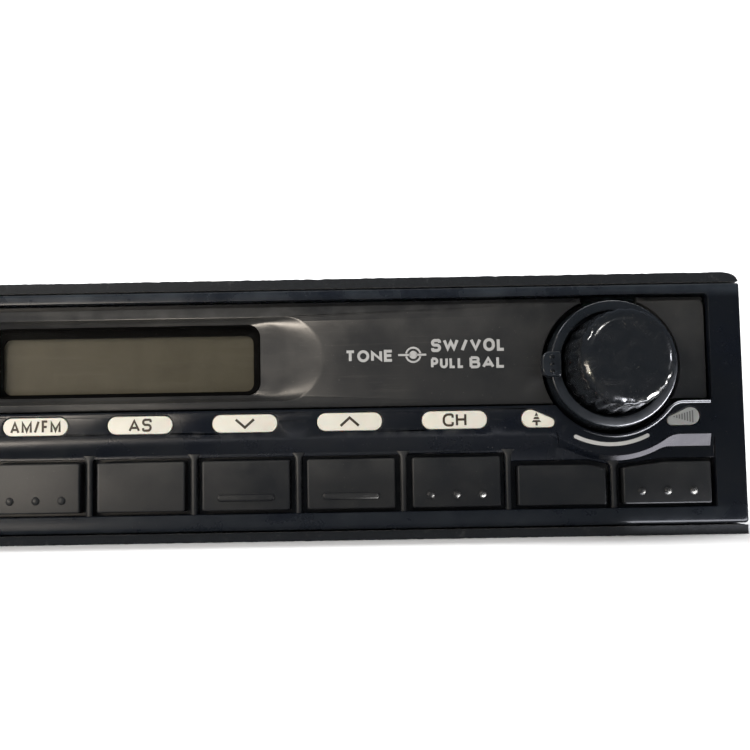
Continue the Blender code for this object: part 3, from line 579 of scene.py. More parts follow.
PLATE = 4.0  # thickness of the frame's front wall
WELL_R = 13.8  # round recess for the knob
RIDGE_Z, RIDGE_FOOT_Z = 19.9, 17.45  # the slope under the label windows
RIDGE_R, RIDGE_FOOT_R, RIDGE_FILLET = 17.9, 18.95, 5.0  # its bulge under the knob
SHOULDER_Z, SHOULDER_R = 26.5, 4.0  # where the opening rises right of the knob
OPEN_HALF_W, OPEN_Z0, OPEN_Z1 = 82.6, 25.9, 47.7  # the opening for the panel
FIELD_Y, FIELD_HALF_W, LIP_Z = 1.2, 82.95, 5.5  # the sunk field with the keys
MARK_Z = 8.7  # height of the raised marks on the keys
KEYS = ("key_1", "key_2", "key_3", "key_down", "key_up", "key_6", "key_7", "key_8")
KEY_X = [sum(cad(k)[0:2]) / 2 for k in KEYS]
PILL_Z, PILL_H, PILL_W = 23.3, 3.6, 12.9  # the label windows
LABELS_X = [x - 0.1 for x in KEY_X]
DROPS = {6: (46.75, 50.5), 7: (78.3, 74.6)}  # x of the round end and of the narrow end
PANEL_Y = cad("fascia_panel")[2]
LABEL_Y = 0.04  # front of the label windows
PRINT_LIFT = 0.03  # thickness of the print
BEAD_R, BEAD_INSET = 0.32, 0.42


def dipped(x, z, r):
    """Height of a level edge at z that dips round the knob on radius r, blended by the ridge's fillet."""
    dx = abs(x - KNOB_X)
    centre_z = z - RIDGE_FILLET
    reach = math.sqrt((r + RIDGE_FILLET) ** 2 - (KNOB_Z - centre_z) ** 2)
    touch = reach * r / (r + RIDGE_FILLET)
    if dx >= reach:
        return z
    if dx <= touch:
        return KNOB_Z - math.sqrt(r * r - dx * dx)
    return centre_z + math.sqrt(RIDGE_FILLET * RIDGE_FILLET - (reach - dx) ** 2)


def ridge_front(x):
    return dipped(x, RIDGE_Z, RIDGE_R)


def ridge_foot(x):
    return dipped(x, RIDGE_FOOT_Z, RIDGE_FOOT_R)


def well_line(start, inset, steps):
    """Line round the knob's recess and over the shoulder at its right, inset mm into the frame."""
    middle_z = SHOULDER_Z - SHOULDER_R
    middle_dx = math.sqrt((WELL_R + SHOULDER_R) ** 2 - (KNOB_Z - middle_z) ** 2)
    turn = math.degrees(math.atan2(middle_z - KNOB_Z, middle_dx))
    line = arc(KNOB_X, KNOB_Z, WELL_R + inset, start, 360 + turn, steps)
    return line + arc(KNOB_X + middle_dx, middle_z, SHOULDER_R - inset, 180 + turn, 90, 16)[1:]


def drop_outline(big, small):
    """Outline round two circles (x, z, r) of unequal size."""
    reach = Vector(small[:2]) - Vector(big[:2])
    aim = math.degrees(math.atan2(reach.y, reach.x))
    lean = math.degrees(math.acos((big[2] - small[2]) / reach.length))
    return arc(*big, aim + lean, aim + 360 - lean, 24) + arc(*small, aim - lean, aim + lean, 14)


def pill_outline(i, grow=0.0):
    """Label window over key i: round-ended, or drop-shaped where the knob leaves little room."""
    if i in DROPS:
        big_x, small_x = DROPS[i]
        big_r, small_r = PILL_H / 2, PILL_H / 2 - 0.8
        return drop_outline((big_x, PILL_Z, big_r + grow), (small_x, PILL_Z - 0.8, small_r + grow))
    x = LABELS_X[i]
    half = PILL_W / 2 + grow
    low, high = PILL_Z - PILL_H / 2 - grow, PILL_Z + PILL_H / 2 + grow
    return rounded_rect(x - half, x + half, low, high, PILL_H / 2 - 0.05 + grow, 12)


def over_key(i, half, low, top, under_knob):
    """Outline at key i: a rectangle, or under the knob one with its upper edge given from the right."""
    upper = under_knob.get(i, ((half, top), (-half, top)))
    return [(KEY_X[i] + dx, z) for dx, z in ((-half, low), (half, low), *upper)]


def slot_outline(i):
    half = 9.7
    return over_key(i, half, LIP_Z, 16.7, {
        6: ((half, 14.1), (5.5, 15.0), (-half, 15.0)),
        7: ((half, 15.1), (-0.3, 15.1), (-half, 14.1))})


def key_outline(i):
    half = 8.65
    return over_key(i, half, 6.2, 16.0, {
        6: ((half, 13.3), (5.3, 14.1), (-half, 14.1)),
        7: ((half, 14.4), (-0.3, 14.4), (-half, 13.4))})


def nose_frame():
    """The moulded frame: rounded block, panel opening, ridge with its bulge, key field and slots."""
    x0, x1, _, y1, z0, z1 = cad("front_bezel")
    edge = 0.8                  # rounding of the front edge
    levels = []
    for k in range(8):
        a = 90 * k / 7
        inset = edge * (1 - sin(a))
        outline = rounded_rect(x0 + inset, x1 - inset, z0 + inset, z1 - inset, (0.7, 0.7, 0.45, 0.45), 8)
        levels.append((edge * (1 - cos(a)), outline))
    levels.append((y1, levels[-1][1]))
    obj = new_object("front_frame", stepped(levels))
    start = math.degrees(math.asin((KNOB_Z - OPEN_Z0) / WELL_R))
    corner = 0.9
    opening = [(-OPEN_HALF_W, OPEN_Z0)] + well_line(180 + start, 0.0, 72)
    opening += [(OPEN_HALF_W, SHOULDER_Z)] + arc(OPEN_HALF_W - corner, OPEN_Z1 - corner, corner, 0, 90, 6)
    opening += arc(-OPEN_HALF_W + corner, OPEN_Z1 - corner, corner, 90, 180, 6)
    field = []
    for x in [-82.0, 0.0] + [KNOB_X - 25.0 + 0.7 * k for k in range(61)] + [FIELD_HALF_W]:
        front, foot = ridge_front(x), ridge_foot(x)
        rise = (front - foot) / FIELD_Y
        field.append([(x, -1.0, LIP_Z), (x, FIELD_Y, LIP_Z), (x, FIELD_Y, foot), (x, -1.0, front + rise)])
    hollow = block(-86.8, 86.8, PLATE, 20.0, 4.2, 47.9)
    slots = together(*(prism(slot_outline(i), 1.0, 5.0) for i in range(8)))
    windows = together(*(prism(pill_outline(i, 0.1), -1.0, 5.0) for i in range(8)))
    catches = together(*(block(side - 3.0, side + 3.0, 8.5, 11.5, z - 4.0, z + 4.0)
                         for side in (-88.0, 88.0) for z in (15.0, 37.0)))
    combine(obj, "DIFFERENCE", hollow, prism(opening, -1.0, 5.0), lofted(field), slots, windows, catches)
    tidy_mesh(obj)
    round_edges(obj, 0.2, 3)
    return piece(obj, "abs_black", replaces=("front_bezel",))


FRAME = nose_frame()


def well_bead():
    """A fine half-round bead along the opening, from under the knob to the right end of the shoulder."""
    line = well_line(245, BEAD_INSET, 60) + [(OPEN_HALF_W - 0.3, SHOULDER_Z - BEAD_INSET)]
    rings = []
    for i, p in enumerate(line):
        ahead = (Vector(line[min(i + 1, len(line) - 1)]) - Vector(line[max(i - 1, 0)])).normalized()
        side = Vector((-ahead.y, ahead.x))
        swell = BEAD_R * min(1.0, 0.35 + 0.65 * i / 20)
        ring = []
        for k in range(16):
            at = Vector(p) + side * swell * cos(22.5 * k)
            ring.append((at.x, -0.6 * swell * sin(22.5 * k), at.y))
        rings.append(ring)
    return smooth_piece("well_bead", lofted(rings), "abs_black")


BEAD = well_bead()


def ridge_sheen():
    """Slim wedge under the right end of the ridge, which keeps the slope at one angle as it narrows."""
    first = KNOB_X - 3.0
    rings = []
    for k in range(56):
        x = first + 0.4 * k
        front, foot = ridge_front(x), ridge_foot(x)
        grown = min(1.0, (x - first) / 5.0)
        even = FIELD_Y * (front - foot) / (RIDGE_Z - RIDGE_FOOT_Z)
        depth = FIELD_Y + (even - FIELD_Y) * grown
        proud = 0.05 * grown
        rings.append([(x, 0.07 - proud, front - 0.14), (x, depth - proud, foot - 0.02),
                      (x, FIELD_Y + 0.2, foot + 0.02), (x, FIELD_Y + 0.2, front + 0.3)])
    return smooth_piece("ridge_sheen", lofted(rings), "abs_black")


def mullions():
    """Rounded ribs between the keys that flare out where they meet the ridge."""
    for i, (left, right) in enumerate(zip(KEY_X, KEY_X[1:])):
        x = (left + right) / 2
        low, top = LIP_Z + 0.05, ridge_foot(x) - 0.05
        rings = []
        for k in range(25):
            z = low + (top - low) * k / 24
            flare = max(0.0, 1.0 - (top - z) / 1.5) ** 2
            wide, deep = 0.58 + 0.75 * flare, 0.42 * (1.0 - 0.5 * flare)
            rings.append([(x + wide * cos(a), FIELD_Y - deep * sin(a), z) for a in range(0, 181, 12)])
        smooth_piece(f"mullion_{i + 1}", lofted(rings), "key_black", slot="abs_black")


SHEEN = ridge_sheen()
mullions()

# ---------------------------------------------------------------- fascia panel

def dish_level(t):
    """Depth and outline of the dish round the display, from its rim (0) to its floor (1)."""
    outer = rounded_rect(-73.1, 6.4, 27.7, 44.6, 8.44, 20)
    inner = rounded_rect(-61.2, -6.9, 29.2, 43.4, 2.5, 20)
    return PANEL_Y + 2.4 * (1 - (1 - t) ** 1.7), between(outer, inner, t)


def fascia():
    """The panel set back in the frame: face and rim, cup for the knob, relief under the shoulder, dish."""
    x0, x1, y0, _, _, z1 = cad("fascia_panel")
    low = OPEN_Z0 + 0.3
    rim = rounded_rect(x0, x1, low, z1, 0.5, 4)
    face = rounded_rect(x0 + 0.15, x1 - 0.15, low + 0.12, 46.6, (0.5, 0.5, 1.4, 1.4), 4)
    obj = new_object("fascia_face", stepped([(y0, face), (2.9, face), (2.9, rim), (4.6, rim)]))
    at = (KNOB_X, 0.0, KNOB_Z)
    under, over = low - 0.05, SHOULDER_Z + 0.4
    left, right = KNOB_X - 20, 83.6
    relief = [(left, 15.0), (right, 15.0), (right, over), (KNOB_X, over), (KNOB_X, under), (left, under)]
    dish = [(y0 - 0.6, dish_level(0.0)[1])]
    dish += [dish_level(t) for t in (0.0, 0.08, 0.17, 0.27, 0.38, 0.50, 0.64, 1.0)]
    dish += [(6.0, dish_level(1.0)[1])]
    cup = rod(WELL_R, 0.0, 9.0, at, 120)
    over_opening = block(KNOB_X - 17, KNOB_X + 17, 1.0, 12.0, OPEN_Z1 - 0.25, 50.0)
    shaft_hole = rod(6.2, 8.0, 12.0, at, 48)
    gap_above = block(KNOB_X - 5.6, KNOB_X + 5.6, 1.0, 6.0, 43.0, 48.0)
    behind_frame = block(KNOB_X - 17, KNOB_X + 17, 4.3, 12.0, 46.9, 50.0)
    combine(obj, "UNION", rod(15.0, 2.1, 10.2, at, 128))
    combine(obj, "DIFFERENCE", cup, over_opening, shaft_hole, gap_above, behind_frame,
            prism(relief, 0.5, PLATE + 1.1), stepped(dish))
    tidy_mesh(obj)
    round_edges(obj, 0.13, 2, 38)
    return piece(obj, "panel_black", replaces=("fascia_panel",))


FASCIA = fascia()

# ---------------------------------------------------------------- display

def display():
    """Window, glass and black mask, and the dark sleeve between the dish's floor and the window."""
    holder = new_object("display_holder", block(*cad("lcd_holder")))
    view = prism(rounded_rect(-59.5, -8.5, 30.1, 41.5, 1.6, 10), 5.0, 8.0)
    combine(holder, "DIFFERENCE", view, block(-64.6, -2.0, 7.1, 13.0, 28.0, 44.0))
    tidy_mesh(holder)
    round_edges(holder, 0.12, 2)
    piece(holder, "holder_black", replaces=("lcd_holder",))
    refined("display_lens", 0.2)
    refined("lcd_glass", 0.2)
    outside = rounded_rect(-61.18, -6.92, 29.22, 43.38, 2.48, 20)
    inside = rounded_rect(-60.8, -7.3, 29.6, 43.0, 2.1, 20)
    front = dish_level(1.0)[0] - 0.1
    sleeve = new_object("display_sleeve", prism(outside, front, cad("display_lens")[2]))
    combine(sleeve, "DIFFERENCE", prism(inside, 0.0, 9.0))
    round_edges(sleeve, 0.1, 2)
    piece(sleeve, "holder_black")


display()


# ---------------------------------------------------------------- label windows, print

def label_windows():
    """The light guides' bars behind the frame, and a crowned window in each opening of the ridge."""
    for node, members in (("label_guide_left", range(7)), ("label_guide_right", (7,))):
        bars = copy_of(node, f"{node}_bars")
        cut_y = FRONT + (PLATE + 0.4) * MM
        bm = bmesh.new()
        bm.from_mesh(bars.data)
        bmesh.ops.bisect_plane(bm, geom=bm.verts[:] + bm.edges[:] + bm.faces[:], plane_co=(0, cut_y, 0),
                               plane_no=(0, -1, 0), clear_outer=True)
        bmesh.ops.holes_fill(bm, edges=[e for e in bm.edges if e.is_boundary], sides=0)
        closed(bm).to_mesh(bars.data)
        bm.free()
        piece(bars, "legend_white", replaces=(node,))
        for i in members:
            rings = [(y, pill_outline(i, grow)) for y, grow in
                     ((LABEL_Y, -0.30), (0.08, -0.12), (0.22, -0.02), (PLATE + 0.5, -0.02))]
            material = "label_grey" if i == 7 else "legend_white"
            smooth_piece(f"label_window_{i + 1}", stepped(rings), material, slot="legend_white")


label_windows()


# Letters: width as a share of the height, then strokes as (rounding, line) in a unit box. A stroke that ends
# where it starts is a loop.
GLYPHS = {
    "A": (1.00, ((0, ((0, 0), (0.5, 1), (1, 0))), (0, ((0.2, 0.27), (0.8, 0.27))))),
    "B": (0.86, ((0, ((0, 0), (0, 1))), (0.22, ((0, 1), (0.92, 1), (0.92, 0.54), (0, 0.54))),
                 (0.22, ((0, 0.54), (1, 0.54), (1, 0), (0, 0))))),
    "C": (0.92, ((0.36, ((1, 0.70), (1, 1), (0, 1), (0, 0), (1, 0), (1, 0.30))),)),
    "E": (0.76, ((0, ((1, 1), (0, 1), (0, 0), (1, 0))), (0, ((0, 0.52), (0.92, 0.52))))),
    "F": (0.72, ((0, ((1, 1), (0, 1), (0, 0))), (0, ((0, 0.50), (0.88, 0.50))))),
    "H": (0.88, ((0, ((0, 0), (0, 1))), (0, ((1, 0), (1, 1))), (0, ((0, 0.53), (1, 0.53))))),
    "L": (0.72, ((0, ((0, 1), (0, 0), (1, 0))),)),
    "M": (1.10, ((0, ((0, 0), (0, 1), (0.5, 0.12), (1, 1), (1, 0))),)),
    "N": (0.90, ((0, ((0, 0), (0, 1), (1, 0), (1, 1))),)),
    "O": (0.98, ((0.42, ((0, 0), (1, 0), (1, 1), (0, 1), (0, 0))),)),
    "P": (0.82, ((0, ((0, 0), (0, 1))), (0.25, ((0, 1), (1, 1), (1, 0.42), (0, 0.42))))),
    "S": (0.84, ((0.24, ((1, 0.76), (1, 1), (0, 1), (0, 0.53), (1, 0.53), (1, 0), (0, 0), (0, 0.24))),)),
    "T": (0.84, ((0, ((0, 1), (1, 1))), (0, ((0.5, 0), (0.5, 1))))),
    "U": (0.88, ((0.34, ((0, 1), (0, 0), (1, 0), (1, 1))),)),
    "V": (0.98, ((0, ((0, 1), (0.5, 0), (1, 1))),)),
    "W": (1.34, ((0, ((0, 1), (0.25, 0), (0.5, 1), (0.75, 0), (1, 1))),)),
    "/": (0.62, ((0, ((0, 0), (1, 1))),)),
}
LETTER_GAP = 0.15  # as a share of a letter's height


def lettering(name, text, box, y, material, weight=0.23):
    """Bold printed capitals that fill box = x0, x1, z0, z1 on the surface at y."""
    x0, x1, z0, z1 = box
    tall = z1 - z0
    half = weight * tall / 2
    shares = sum(GLYPHS[letter][0] for letter in text)
    wide_per_share = (x1 - x0 - LETTER_GAP * tall * (len(text) - 1)) / shares
    layers = [bmesh.new() for _ in range(3)]
    x = x0
    for letter in text:
        share, strokes = GLYPHS[letter]
        wide = share * wide_per_share
        for layer, (rounding, line) in zip(layers, strokes):
            loop = line[0] == line[-1]
            path = [(x + half + u * (wide - 2 * half), z0 + half + v * (tall - 2 * half)) for u, v in line]
            path = rounded(path[:-1] if loop else path, rounding * tall, 6, loop)
            ribbon(layer, path, 2 * half, y - PRINT_LIFT, loop, (z0, z1))
        x += wide + LETTER_GAP * tall
    strokes = [thicken(layer) for layer in layers if layer.faces]
    for step, layer in enumerate(strokes):      # crossing strokes lie just over each other
        bmesh.ops.translate(layer, verts=layer.verts, vec=(0.0, -0.002 * step, 0.0))
    piece(new_object(name, together(*strokes)), material, slot="legend_white")


def ribbon(bm, points, width, y, loop=False, clip=None):
    """A flat band of even width along a bent line, cut off level at clip = lowest, highest."""
    points = [p for i, p in enumerate(points) if i == 0 or math.dist(p, points[i - 1]) > 1e-4]
    rows = []
    count = len(points)
    for i, p in enumerate(points):
        here = Vector(p)
        before = here - Vector(points[i - 1]) if i or loop else None
        after = Vector(points[(i + 1) % count]) - here if i < count - 1 or loop else None
        a = (before or after).normalized()
        b = (after or before).normalized()
        bend = (a + b).normalized()
        side = Vector((-bend.y, bend.x)) * (width / 2) / max(0.3, bend.dot(a))
        row = []
        for corner in (here + side, here - side):
            z = min(max(corner.y, clip[0]), clip[1]) if clip else corner.y
            row.append(bm.verts.new((corner.x, y, z)))
        rows.append(row)
    for a, b in zip(rows, rows[1:] + (rows[:1] if loop else [])):
        bm.faces.new((a[0], a[1], b[1], b[0]))


def thicken(bm):
    """Gives flat print its thickness, towards the back."""
    made = bmesh.ops.extrude_face_region(bm, geom=bm.faces[:])
    moved = [g for g in made["geom"] if isinstance(g, bmesh.types.BMVert)]
    bmesh.ops.translate(bm, verts=moved, vec=(0.0, PRINT_LIFT, 0.0))
    return closed(bm)


def print_of(name, bm, material):
    piece(new_object(name, thicken(bm)), material, slot="legend_white")


def pictogram(name, outlines, y, material):
    """Filled outlines printed on the surface at y."""
    bm = bmesh.new()
    for outline in outlines:
        bm.faces.new([bm.verts.new((x, y - PRINT_LIFT, z)) for x, z in outline])
    print_of(name, bm, material)


def ring_band(cx, cz, r0, r1, a0, a1, steps):
    return arc(cx, cz, r1, a0, a1, steps) + arc(cx, cz, r0, a1, a0, steps)


def round_ended_band(cx, cz, r0, r1, a0, a1):
    middle, half = (r0 + r1) / 2, (r1 - r0) / 2
    ends = [(cx + middle * cos(a), cz + middle * sin(a)) for a in (a0, a1)]
    outline = arc(cx, cz, r1, a0, a1, 48) + arc(*ends[1], half, a1, a1 + 180, 10)[1:]
    return outline + arc(cx, cz, r0, a1, a0, 48)[1:] + arc(*ends[0], half, a0 + 180, a0 + 360, 10)[1:-1]


def printed_marks():
    """Legends on the panel, the line under the knob, and the words and pictograms on the label windows."""
    for name, text, box in (
            ("tone", "TONE", (10.3, 19.9, 35.2, 37.6)), ("vol", "SW/VOL", (27.5, 42.3, 37.0, 39.6)),
            ("pull", "PULL", (27.4, 34.0, 33.7, 35.9)), ("bal", "BAL", (35.1, 42.2, 33.6, 36.0))):
        lettering(f"print_{name}", text, box, PANEL_Y, "ink_grey")
    cx, cz = 23.9, 36.5
    icon = [arc(cx, cz, 0.8, 0, 345, 23)]
    icon += [ring_band(cx, cz, 1.25, 1.62, a, a + 156, 20) for a in (12, 192)]
    icon += [box_outline(x0, x1, cz - 0.2, cz + 0.2) for x0, x1 in ((20.9, cx - 0.6), (cx + 0.6, 26.5))]
    pictogram("print_balance_icon", icon, PANEL_Y, "ink_grey")
    pictogram("print_arc", [round_ended_band(62.6, 34.1, 15.75, 16.5, -116, -64)], 0.0, "arc_grey")
    for i, word, half in ((1, "AM/FM", 5.0), (2, "AS", 2.3), (5, "CH", 2.35)):
        box = (LABELS_X[i] - half, LABELS_X[i] + half, 22.0, 24.6)
        lettering(f"print_label_{i + 1}", word, box, LABEL_Y, "ink_brown", 0.175)
    for i, rise in ((3, -0.8), (4, 0.8)):
        x = LABELS_X[i]
        chevron = bmesh.new()
        line = [(x - 1.8, PILL_Z - rise), (x, PILL_Z + rise), (x + 1.8, PILL_Z - rise)]
        ribbon(chevron, line, 0.5, LABEL_Y - PRINT_LIFT)
        print_of(f"print_label_{i + 1}", chevron, "ink_brown")
    x, z = 47.9, 23.2
    tree = [[(x - 0.35, z + 0.62), (x + 0.35, z + 0.62), (x, z + 1.35)]]
    tiers = ((0.62, 0.38, -0.02, 0.42), (0.95, 0.62, -0.62, -0.22), (0.22, 0.22, -1.3, -0.6))
    for low, high, z0, z1 in tiers:
        tree.append([(x - low, z + z0), (x + low, z + z0), (x + high, z + z1), (x - high, z + z1)])
    pictogram("print_label_7", tree, LABEL_Y, "ink_brown")
    bars = []
    for k in range(8):
        left, half = 74.9 + 0.52 * k, 0.12 + 0.155 * k
        bars.append(box_outline(left, left + 0.27, z - half, z + half))
    pictogram("print_label_8", bars, LABEL_Y, "bar_grey")


printed_marks()


# ---------------------------------------------------------------- keys

def keys():
    """Caps with a rounded front edge, a flange behind the frame and a stem, and the keys' raised marks."""
    marks = {}
    front_y, round_depth, inset = 0.02, 0.35, 0.35
    flange_y = PLATE + 0.3
    for i, node in enumerate(KEYS):
        x = KEY_X[i]
        flank = rounded(key_outline(i), 0.4)
        inner = rounded([(px + (inset if px < x else -inset), pz + (inset if pz < 9 else -inset))
                         for px, pz in key_outline(i)], 0.25)
        rings = [(front_y, inner)]
        rings += [(front_y + round_depth * (1 - cos(a)), between(inner, flank, sin(a)))
                  for a in range(15, 91, 15)]
        rings.append((PLATE + 0.6, flank))
        cap = new_object(f"{node}_cap", stepped(rings))
        top = max(z for _, z in key_outline(i)) + 1.2
        flange = box_outline(x - 9.95, x + 9.95, 4.6, top)
        stem = box_outline(x - 2.0, x + 2.0, 9.0, 13.0)
        back = [(flange_y, flange), (flange_y + 1.0, flange), (flange_y + 1.0, stem), (flange_y + 2.3, stem)]
        combine(cap, "UNION", stepped(back))
        round_edges(cap, 0.0)
        piece(cap, "key_black", node, replaces=(node,))
        marks[node] = [smooth_piece(f"{node}_mark_{k + 1}", mark, "key_black", node)
                       for k, mark in enumerate(key_marks(i))]
    return marks


def key_marks(i):
    """Marks for finding a key by touch: three domes, or one rounded bar."""
    x = KEY_X[i]
    if i in (1, 5, 7):
        dome = [(0.0, -0.45)] + [(0.82 * sin(a), 0.05 - 0.5 * cos(a)) for a in range(8, 91, 8)]
        dome += [(0.85, 0.3), (0.0, 0.3)]
        return [lathe(dome, 32, (x + d, 0.0, MARK_Z)) for d in (-5.1, 0.0, 5.1)]
    if i in (3, 4):
        rings = []
        for a in range(0, 91, 15):
            r = 0.25 + 0.45 * sin(a)
            outline = rounded_rect(x - 4.95 - r, x + 4.95 + r, MARK_Z - r, MARK_Z + r, r, 8)
            rings.append((0.02 - 0.42 * cos(a), outline))
        rings.append((0.3, rings[-1][1]))
        return [stepped(rings)]
    return []


MARKS = keys()


# ---------------------------------------------------------------- knob and ring

AXIS = (KNOB_X, 0.0, KNOB_Z)
FLUTES = 24
KNOB_FRONT = cad("volume_knob")[2]
KNOB_ROUND = 2.5  # rounding of the knob's front rim


def fluted(r, y, a):
    """Scallops round the flank that fade out at the round front rim and at the skirt."""
    if r < 7.4 or y > 3.0:
        return r
    start = KNOB_FRONT + 0.6
    fade = min(1.0, max(0.0, (y - start) / 2.2)) * min(1.0, max(0.0, (1.2 - y) / 2.0))
    shallow = 0.10 * min(1.0, max(0.0, (y - start + 0.5) / 0.6))
    dip = (0.5 + 0.5 * math.cos(FLUTES * a)) ** 1.4
    return r - max(shallow, 0.34 * fade) * dip


def knob():
    """The fluted volume knob: dished face, round rim, flank that widens to a skirt, hollow back."""
    front = KNOB_FRONT
    profile = [(0.0, front + 0.10), (2.5, front + 0.09), (4.6, front + 0.06), (5.8, front + 0.02)]
    profile += [(6.7, front)] + arc(6.7, front + KNOB_ROUND, KNOB_ROUND, 275, 355, 16)
    profile += [(9.25, front + 2.9), (9.32, -12.6), (9.42, -11.0), (9.52, -9.6), (9.63, -8.0), (9.78, -6.2),
                (9.85, -4.4), (9.93, -2.6), (9.98, -1.2), (10.02, 0.0), (10.07, 0.8), (10.1, 1.4),
                (10.1, 3.3), (9.95, 3.5), (9.0, 3.5), (7.7, -12.2), (4.6, -12.6), (4.6, 2.6), (0.0, 2.6)]
    obj = new_object("volume_knob_fine", lathe(profile, 288, AXIS, fluted))
    combine(obj, "DIFFERENCE", rod(3.1, -9.0, 4.0, AXIS, 48))
    round_edges(obj, 0.0)
    return piece(obj, "knob_gloss", "volume_control", replaces=("volume_knob",))


def tone_ring():
    """The ring behind the knob, with its thumb lug on the left and three bumps on that."""
    inner, outer = 10.5, 12.55
    profile = [(4.4, 5.3), (inner, 5.3), (inner, -1.6)] + arc(inner + 0.35, -1.65, 0.35, 180, 270, 6)
    profile += arc(outer - 0.4, -1.6, 0.4, 270, 360, 6)
    profile += [(12.62, -0.8), (12.85, 2.4), (13.1, 6.4), (4.4, 6.4)]
    obj = new_object("tone_ring_fine", lathe(profile, 192, AXIS))
    lug_x, lug_y = KNOB_X - 12.4, -3.4
    flank = rounded_rect(lug_x - 1.9, lug_x + 1.95, KNOB_Z - 2.5, KNOB_Z + 2.5, (1.6, 0.5, 0.5, 1.6), 10)
    face = rounded_rect(lug_x - 1.5, lug_x + 1.7, KNOB_Z - 2.1, KNOB_Z + 2.1, (1.3, 0.4, 0.4, 1.3), 10)
    lug = [(lug_y + 0.45 * (1 - cos(a)), between(face, flank, sin(a))) for a in range(0, 91, 18)]
    combine(obj, "UNION", stepped(lug + [(-0.8, flank)]))
    round_edges(obj, 0.0)
    piece(obj, "ring_slate", "tone_control", "abs_black", ("tone_ring",))
    dome = [(0.0, -3.74)] + [(0.5 * sin(a), -3.34 - 0.38 * cos(a)) for a in range(12, 91, 13)]
    dome += [(0.5, -3.1), (0.0, -3.1)]
    for k, d in enumerate((-1.4, 0.0, 1.4)):
        bump = lathe(dome, 24, (lug_x, 0.0, KNOB_Z + d))
        smooth_piece(f"ring_bump_{k + 1}", bump, "knob_gloss", "tone_control", "abs_black")
    return obj


KNOB = knob()
RING = tone_ring()


# ---------------------------------------------------------------- felt strips

def felt_strip(node):
    """A felt strip with a matted, uneven surface. The upper one follows the frame's rounded corners."""
    x0, x1, y0, y1, z0, z1 = cad(node)
    across, along = 8, 420      # points along each side of the section, and steps along the strip
    corner = 3.7 if node == "felt_top" else 0.0
    rows = []
    for i in range(along + 1):
        x = x0 + (x1 - x0) * i / along
        past = max(0.0, abs(x) - (x1 - corner))
        top = z0 + (z1 - z0) * (math.sqrt(max(0.0, 1 - (past / corner) ** 2)) if corner else 1.0)
        top = max(top, z0 + 0.1)
        ring = []
        for k in range(4 * across):
            side, t = divmod(k, across)
            t /= across
            ring.append([(x, y0 + (y1 - y0) * t, z0), (x, y1, z0 + (top - z0) * t),
                         (x, y1 - (y1 - y0) * t, top), (x, y0, top - (top - z0) * t)][side])
        rows.append(ring)
    bm = lofted(rows)
    mid_y, mid_z = (y0 + y1) / 2, (z0 + z1) / 2
    for v in bm.verts:
        depth = max(0.0, 0.06 + 0.09 * perlin(v.co * 0.5) + 0.06 * perlin(v.co * 2.7))
        v.co.y += depth if v.co.y < mid_y else -depth
        v.co.z += depth if v.co.z < mid_z - 0.6 else (-depth if v.co.z > mid_z + 0.6 else 0.0)
    smooth_piece(f"{node}_strip", bm, "felt_black", replaces=(node,))


felt_strip("felt_top")
felt_strip("felt_bottom")


# ---------------------------------------------------------------- case, sockets and inside

EDGE_WIDTHS = {
    "top_cover": 0.22, "bottom_cover": 0.22, "side_plate_left": 0.2, "side_plate_right": 0.2,
    "rear_plate": 0.2, "heat_sink": 0.22, "power_socket": 0.18, "tuner_can": 0.3, "pot_nut": 0.12,
    "board_connector": 0.2, "dual_potentiometer": 0.2}
for node, width in EDGE_WIDTHS.items():
    refined(node, width)

for node, obj in frame["nodes"].items():
    if not obj.hide_render:
        obj.data.materials.clear()
        obj.data.materials.append(MATERIALS[SLOTS[node]])


# ---------------------------------------------------------------- studio

def studio():
    """Pale floor that sweeps up into a backdrop, in a dim bluish room."""
    floor_mat = Shader("studio_floor", (0.86, 0.86, 0.86), 0.6)
    floor_mat.bump((floor_mat.noise(2.0, 3.0), 0.02, 0.02))
    half, front, back, top, bend = 5.0, -5.0, 1.6, 1.6, 0.5     # metres
    profile = [(front, 0.0), (back - bend, 0.0)] + arc(back - bend, bend, bend, 276, 360, 14) + [(back, top)]
    bm = bmesh.new()
    rows = [[bm.verts.new((x, y, z)) for y, z in profile] for x in (-half, half)]
    for i in range(len(profile) - 1):
        bm.faces.new((rows[0][i], rows[1][i], rows[1][i + 1], rows[0][i + 1]))
    mesh = bpy.data.meshes.new("studio_sweep")
    bm.to_mesh(mesh)
    bm.free()
    mesh.polygons.foreach_set("use_smooth", [True] * len(mesh.polygons))
    mesh.materials.append(floor_mat.mat)
    sweep = added("studio_sweep", mesh)
    sweep.visible_glossy = False    # the radio mirrors the dim room and the small panels, not the lit floor
    world = bpy.data.worlds.new("studio_air")
    world.use_nodes = True
    world.node_tree.nodes["Background"].inputs["Color"].default_value = (0.80, 0.92, 1.12, 1.0)
    world.node_tree.nodes["Background"].inputs["Strength"].default_value = 0.12
    bpy.context.scene.world = world


def soft_box(name, place, aim, size, watts, color=(1.0, 1.0, 1.0)):
    light = bpy.data.lights.new(name, "AREA")
    light.shape = "RECTANGLE"
    light.size, light.size_y = size
    light.energy = watts
    light.color = color
    lamp = added(name, light)
    lamp.location = place
    lamp.rotation_euler = (Vector(aim) - Vector(place)).to_track_quat("-Z", "Y").to_euler()
    return lamp


def lights(lamp, only=(), never=()):
    """Lets a lamp light some pieces only, or every piece but some."""
    pieces = bpy.data.collections.new(f"{lamp.name}_pieces")
    for obj in only or never:
        pieces.objects.link(obj)
    if never:
        for entry in pieces.collection_objects:
            entry.light_linking.link_state = "EXCLUDE"
    lamp.light_linking.receiver_collection = pieces


